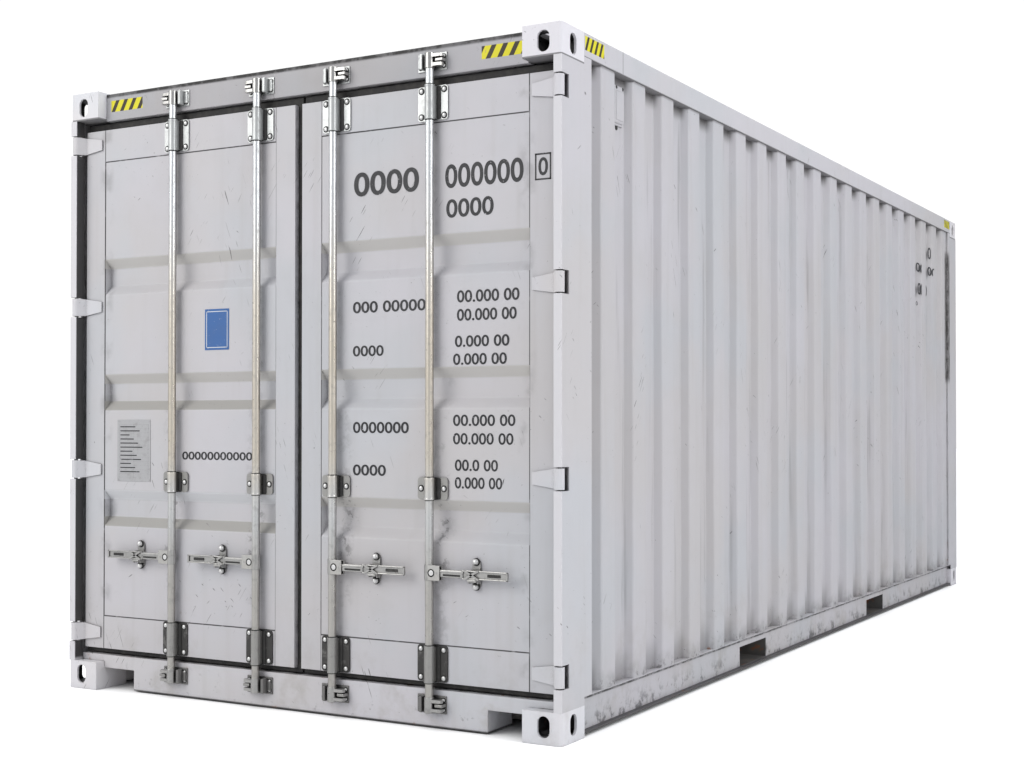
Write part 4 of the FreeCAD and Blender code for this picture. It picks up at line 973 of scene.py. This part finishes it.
def keepers():
    """Cam keepers on the header and the sill: a backing plate, a cheek, a tongue and four bolts."""
    bright, forged, head, shade, painted_shade, grey = range(6)
    looks = ("bracket", "handle", "bolt", "recess", "keeper_painted_shade", "sleeve_grey")
    low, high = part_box("cam_keepers")
    piece = Piece()
    face, nose = -2.986, -3.016
    # The lower keepers take darker copies of the zinc: painted shade.
    for z, plate, tongue in ((low.z + 0.034, painted_shade, grey), (high.z - 0.034, bright, forged)):
        for _, _, side, out in GEAR:
            x = side * out
            for start, end, front, back, half, roll, material in (
                    (-0.068, 0.062, face, GEAR_BACK, 0.034, 0.0018, plate),
                    (-0.044, -0.030, nose, face + 0.001, 0.030, 0.0040, plate),
                    (-0.062, -0.040, face - 0.006, face, 0.022, 0.0030, plate),
                    (0.027, 0.060, nose, face + 0.001, 0.006, 0.0025, tongue)):
                piece.block((x + side * start, front, z - half), (x + side * end, back, z + half),
                            roll, material)
            for across in (-0.0557, 0.0497):
                for rise in (-0.018, 0.018):
                    piece.bolt((x + side * across, face, z + rise), OUT, 0.0062, head, shade)
    piece.done("cam_keepers_forged", looks, "container", ["cam_keepers"])


def catches():
    """Handle catches: a stadium-shaped plate, a shelf with turned-up cheeks and two large domed bolts."""
    head, shade = 1, 2
    dome = [(0.005, 0.0125), (0.011, 0.0120), (0.015, 0.0085), (0.0165, 0.0035), (0.0168, 0.0)]
    washer = [(-0.001, 0.0150), (0.004, 0.0150), (0.006, 0.0135), (0.006, 0.0105)]
    radius, shelf = 0.0175, HANDLE_Z - 0.0173
    points = []
    for begin, rise in ((0, 0.0391), (180, -0.0391)):
        for step in range(9):
            angle = math.radians(begin + 22.5 * step)
            points.append((radius * math.cos(angle), rise + radius * math.sin(angle)))
    for name, side in SIDES:
        node = "handle_catches_" + name
        piece = Piece()
        for place, out in BARS:
            x = side * (out + 0.194)
            upright = Matrix.Translation((x, -2.979, HANDLE_Z)) @ UPRIGHT
            piece.outline(points, 0.008, upright, 0.0015)
            piece.block((x - 0.020, -3.024, shelf - 0.010), (x + 0.020, -2.986, shelf), 0.0025)
            for across in (-0.0215, 0.0165):
                piece.block((x + across, -3.013, shelf - 0.016),
                            (x + across + 0.005, -2.986, shelf + 0.034), 0.002)
            for rise in (-0.046, 0.046):
                piece.turned((x, GEAR_FACE, HANDLE_Z + rise), OUT, washer, 22, shade)
                piece.turned((x, GEAR_FACE, HANDLE_Z + rise), OUT, dome, 22, head)
        piece.done(node + "_forged", ("handle", "bolt", "recess"), "door_" + name, [node])


def gaskets():
    """Rubber seals with a rounded bulb along each lip."""
    for name, side in SIDES:
        softened("leaf_gasket_" + name, "rubber", 0.004, 3)


def data_plate():
    """A riveted plate with a ruled, empty table."""
    low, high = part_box("data_plate")
    piece = Piece()
    piece.block(low, high, 0.0005)
    middle = (low + high) / 2
    wide, tall = high.x - low.x, high.z - low.z
    front = low.y
    rows = 13
    for row in range(rows + 1):
        z = low.z + tall * (0.06 + 0.86 * row / rows)
        piece.block((low.x + 0.012, front - 0.0004, z - 0.0006), (high.x - 0.012, front, z + 0.0006), 0.0)
        if 0 < row < rows:
            reach = 0.35 + 0.55 * ((row * 37) % 10) / 10
            piece.block((low.x + 0.018, front - 0.0004, z + 0.0060),
                        (low.x + 0.018 + (wide - 0.04) * reach, front, z + 0.0105), 0.0, 1)
    for across in (0.07, 0.5, 0.93):
        piece.block((low.x + wide * across - 0.0006, front - 0.0004, low.z + tall * 0.06),
                    (low.x + wide * across + 0.0006, front, low.z + tall * 0.92), 0.0)
    for dx in (-1, 1):
        for dz in (-1, 1):
            piece.turned((middle.x + dx * (wide / 2 - 0.007), front, middle.z + dz * (tall / 2 - 0.007)), OUT,
                         [(-0.0005, 0.0042), (0.0010, 0.0036), (0.0018, 0.0018), (0.0020, 0.0)], 12)
    piece.done("data_plate_ruled", ("plate", "ink"), "door_left", ["data_plate"])


def wall_vents():
    """A hooded vent in each long wall: a domed cover, a lipped foot, and screws above and below."""
    low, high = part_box("wall_vents")
    piece = Piece()
    wide = 0.0925
    for side, start in ((1, low.y), (-1, high.y - wide)):
        face = side * high.x
        back = side * (high.x - 0.022)
        end = start + wide
        middle = (start + end) / 2
        for inset, sunk, foot, head, roll, segments in (
                (0.004, 0.004, low.z + 0.020, high.z - 0.012, 0.009, 4),
                (0.012, 0.000, low.z + 0.030, high.z - 0.034, 0.006, 4),
                (0.000, 0.012, low.z + 0.012, low.z + 0.030, 0.005, 3)):
            piece.block((back, start + inset, foot), (face - side * sunk, end - inset, head),
                        roll, 0, segments)
        # The screws take the recess look: painted shade.
        for across in (-0.028, 0.028):
            piece.turned((face - side * 0.005, middle + across, high.z - 0.022), (side, 0, 0), [
                (-0.010, 0.007), (0.001, 0.007), (0.003, 0.004), (0.0035, 0.0)], 16, 1)
        piece.turned((back, middle, low.z + 0.006), (side, 0, 0), [
            (0.0, 0.010), (0.004, 0.010), (0.006, 0.006), (0.0065, 0.0)], 16, 1)
    piece.done("wall_vents_hooded", ("vent", "recess"), "container", ["wall_vents"])


def notch_gussets():
    """Plates that close the two notches in the sill: the sill's end, the outer cheek and the roof between."""
    painted_plate, dark_plate = 0, 1
    for name, side in SIDES:
        piece = Piece()
        for start, end, front, back, foot, head, roll, material in (
                (0.878, 0.884, -2.979, -2.800, 0.006, 0.092, 0.0012, painted_plate),
                (1.060, 1.066, -2.850, -2.575, 0.014, 0.138, 0.0012, painted_plate),
                (0.880, 1.064, -2.974, -2.800, 0.090, 0.094, 0.0008, painted_plate),
                (0.880, 1.064, -2.804, -2.800, 0.030, 0.138, 0.0008, dark_plate)):
            piece.block((side * start, front, foot), (side * end, back, head), roll, material)
        piece.done("notch_gusset_" + name, ("sill", "under"), "container")


# -------------------- markings

def figures(name, text, height, place, look, body, width):
    """A row of plain figures as thin paint; place puts their baseline start."""
    curve = bpy.data.curves.new(name, "FONT")
    curve.body = text
    curve.size = 1.0
    curve.offset = 0.018
    holder = placed(name + "_line", curve)
    bpy.context.view_layer.update()
    mesh = bpy.data.meshes.new_from_object(holder.evaluated_get(bpy.context.evaluated_depsgraph_get()))
    bpy.data.objects.remove(holder)
    xs = [vert.co.x for vert in mesh.vertices]
    ys = [vert.co.y for vert in mesh.vertices]
    rise = height / (max(ys) - min(ys))
    reach = width / (max(xs) - min(xs))
    shift = Matrix.Translation((-min(xs), -min(ys), 0.0))
    mesh.transform(place @ Matrix.Diagonal((reach, rise, 1.0, 1.0)) @ shift)
    mesh.name = name
    finished(mesh, name, look, body)


def on_door(x, z, y=-2.9797):
    return Matrix.Translation((x, y, z)) @ UPRIGHT


def ruled_box(name, left, right, foot, head, line, front, back, look, body):
    """Four thin painted lines round a rectangle."""
    piece = Piece()
    for x0, x1, z0, z1 in ((left, right, foot, foot + line), (left, right, head - line, head),
                           (left, left + line, foot, head), (right - line, right, foot, head)):
        piece.block((x0, front, z0), (x1, back, z1), 0.0)
    piece.done(name, look, body)


def markings():
    rows = (
        ("code_letters", "0000", 0.272, 2.036, 0.094, 0.305),
        ("code_figures", "000000", 0.695, 2.036, 0.090, 0.340),
        ("size_figures", "0000", 0.700, 1.924, 0.070, 0.208),
        ("gross_name", "000 00000", 0.268, 1.580, 0.045, 0.340),
        ("gross_first", "00.000 00", 0.748, 1.603, 0.046, 0.270),
        ("gross_second", "00.000 00", 0.748, 1.534, 0.045, 0.258),
        ("tare_name", "0000", 0.268, 1.411, 0.042, 0.146),
        ("tare_first", "0.000 00", 0.739, 1.436, 0.043, 0.236),
        ("tare_second", "0.000 00", 0.731, 1.369, 0.043, 0.233),
        ("load_name", "0000000", 0.269, 1.112, 0.044, 0.262),
        ("load_first", "00.000 00", 0.731, 1.140, 0.043, 0.270),
        ("load_second", "00.000 00", 0.731, 1.071, 0.043, 0.262),
        ("room_name", "0000", 0.269, 0.947, 0.043, 0.156),
        ("room_first", "00.0 00", 0.739, 0.972, 0.043, 0.188),
        ("room_second", "0.000 000", 0.739, 0.906, 0.043, 0.236),
    )
    for name, text, x, z, height, width in rows:
        figures("marks_" + name, text, height, on_door(x, z), "ink", "door_right", width)
    figures("marks_check_figure", "0", 0.066, on_door(1.098, 2.051, -2.9815), "ink", "door_right", 0.040)
    ruled_box("marks_check_box", 1.084, 1.151, 2.035, 2.133, 0.006, -2.9816, -2.9808, "ink", "door_right")
    wall = Matrix.Translation((1.2116, 0.0, 0.0)) @ Matrix.Rotation(math.pi / 2, 4, "Z")
    wall = wall @ UPRIGHT
    groups = (
        ("first", "0 0", 2.09, 2.262, 0.080, 0.250),
        ("second", "00 00", 1.93, 2.150, 0.060, 0.540),
        ("third", "000", 1.98, 2.000, 0.080, 0.240),
        ("fourth", "0", 1.93, 1.925, 0.028, 0.050),
    )
    for name, text, y, z, height, width in groups:
        place = wall @ Matrix.Translation((y, z, 0.0))
        figures("marks_wall_" + name, text, height, place, "ink", "container", width)
    figures("marks_left_leaf", "00000000000", 0.034, on_door(-0.614, 0.998), "ink", "door_left", 0.378)
    patch = Piece()
    patch.block((-0.491, -2.9798, 1.455), (-0.361, -2.9789, 1.625), 0.0)
    patch.done("blue_patch_plain", "blue", "door_left")
    ruled_box("blue_patch_rim", -0.483, -0.369, 1.464, 1.616, 0.003, -2.9801, -2.9796, "white", "door_left")


# -------------------- carried-over CAD shapes

def worked_nodes():
    """The pieces whose CAD shape is right, with rolled edges and their own finishes."""
    softened("corner_castings_top", "castings", 0.007, 3)
    softened("corner_castings_bottom", "castings", 0.007, 3)
    softened("door_header", "header", 0.003)
    softened("door_sill", "sill", 0.004)
    softened("blind_bottom_rail", "frame", 0.004, merged=False)
    softened("blind_top_rail", "frame", 0.004)
    softened("crossmembers", "under", 0.001, 1)
    softened("fork_pockets", "under", 0.0015, 1)
    softened("floor_boards", "floor", 0.002, 1)
    for name, side in SIDES:
        softened("door_post_" + name, "door_post", 0.0045, 3)
        softened("blind_post_" + name, "blind_post", 0.006, 3)
        softened("top_side_rail_" + name, "top_rail", 0.004)
        softened("bottom_side_rail_" + name, "bottom_rail", 0.0015, merged=False)
        softened("hinge_blades_" + name, "hinge", 0.0030, 3)
        softened("hinge_pins_" + name, "handle", 0.001, 1)


# -------------------- stage

def stage():
    """A white floor that glows to the camera, with a painted shadow where the container is close by, and a
    white surround.
    """
    bm = bmesh.new()
    bmesh.ops.create_grid(bm, x_segments=1, y_segments=1, size=60.0)
    ground = placed("studio_floor", meshed(bm, "studio_floor"))
    ground.location = (0.0, 0.0, GROUND - 0.001)
    look = Look("studio_floor_look")
    look.colour = (0.74, 0.74, 0.74)
    look.surface(0.9)
    # Painted shadow: the glow fades where the crevice mask finds the container close by.
    open_floor = (1 - look.crevice(0.55, 12)).ramp(0.05, 0.95)
    seen = Mask(look, look.add("ShaderNodeLightPath").outputs["Is Camera Ray"])
    strength = open_floor * seen * 0.75
    glow = look.add("ShaderNodeEmission", {}, {"Color": (1.0, 1.0, 1.0), "Strength": strength})
    both = look.add("ShaderNodeAddShader", {}, {0: look.shader.outputs[0], 1: glow.outputs[0]})
    look.feed(look.tree.nodes["Material Output"].inputs["Surface"], both.outputs[0])
    ground.data.materials.append(look.material)

    world = bpy.data.worlds.new("studio")
    bpy.context.scene.world = world
    world.use_nodes = True
    sky = Tree(world.node_tree)
    light = sky.tree.nodes["Background"]
    sky.feed(light.inputs["Color"], (0.93, 0.95, 1.0))
    sky.feed(light.inputs["Strength"], 0.64)
    white = sky.add("ShaderNodeBackground", {}, {"Color": (1.0, 1.0, 1.0), "Strength": 1.05})
    seen = sky.add("ShaderNodeLightPath").outputs["Is Camera Ray"]
    choice = sky.add("ShaderNodeMixShader", {}, {0: seen, 1: light.outputs[0], 2: white.outputs[0]})
    sky.feed(sky.tree.nodes["World Output"].inputs["Surface"], choice.outputs[0])


def soft_light(name, at, aim, size, power, colour):
    data = bpy.data.lights.new(name, "AREA")
    data.shape = "DISK"
    data.size = size
    data.energy = power
    data.color = colour
    lamp = placed(name, data)
    lamp.location = at
    lamp.rotation_mode = "QUATERNION"
    lamp.rotation_quaternion = (Vector(aim) - Vector(at)).to_track_quat("-Z", "Y")


def lights():
    soft_light("key_front_left", (-4.6, -10.5, 6.2), (0.0, -2.0, 1.2), 7.5, 560.0, (1.0, 0.985, 0.96))
    soft_light("side_right", (11.0, -3.5, 5.5), (1.0, 0.0, 1.2), 6.0, 560.0, (1.0, 1.0, 1.0))
    soft_light("top", (0.0, 0.0, 9.5), (0.0, 0.0, 0.0), 8.0, 560.0, (0.98, 0.99, 1.0))


def camera():
    """Standing off the right-hand door corner at chest height, a little back from the door end."""
    data = bpy.data.cameras.new("camera")
    data.sensor_width = 36.0
    data.lens = 51.01
    data.shift_x = -0.01873
    data.shift_y = 0.01994
    view = placed("camera", data)
    view.location = (3.6448, -7.5933, 1.1494)
    view.rotation_euler = (math.pi / 2 + 0.0132, 0.0, 0.5095)
    bpy.context.scene.camera = view
    bpy.context.scene.view_settings.view_transform = "Standard"


camera()
lights()
stage()
worked_nodes()
side_walls()
blind_wall()
roof()
leaf_frames()
leaf_panels()
gaskets()
locking_bars()
handles()
rod_brackets()
keepers()
catches()
data_plate()
wall_vents()
notch_gussets()
markings()
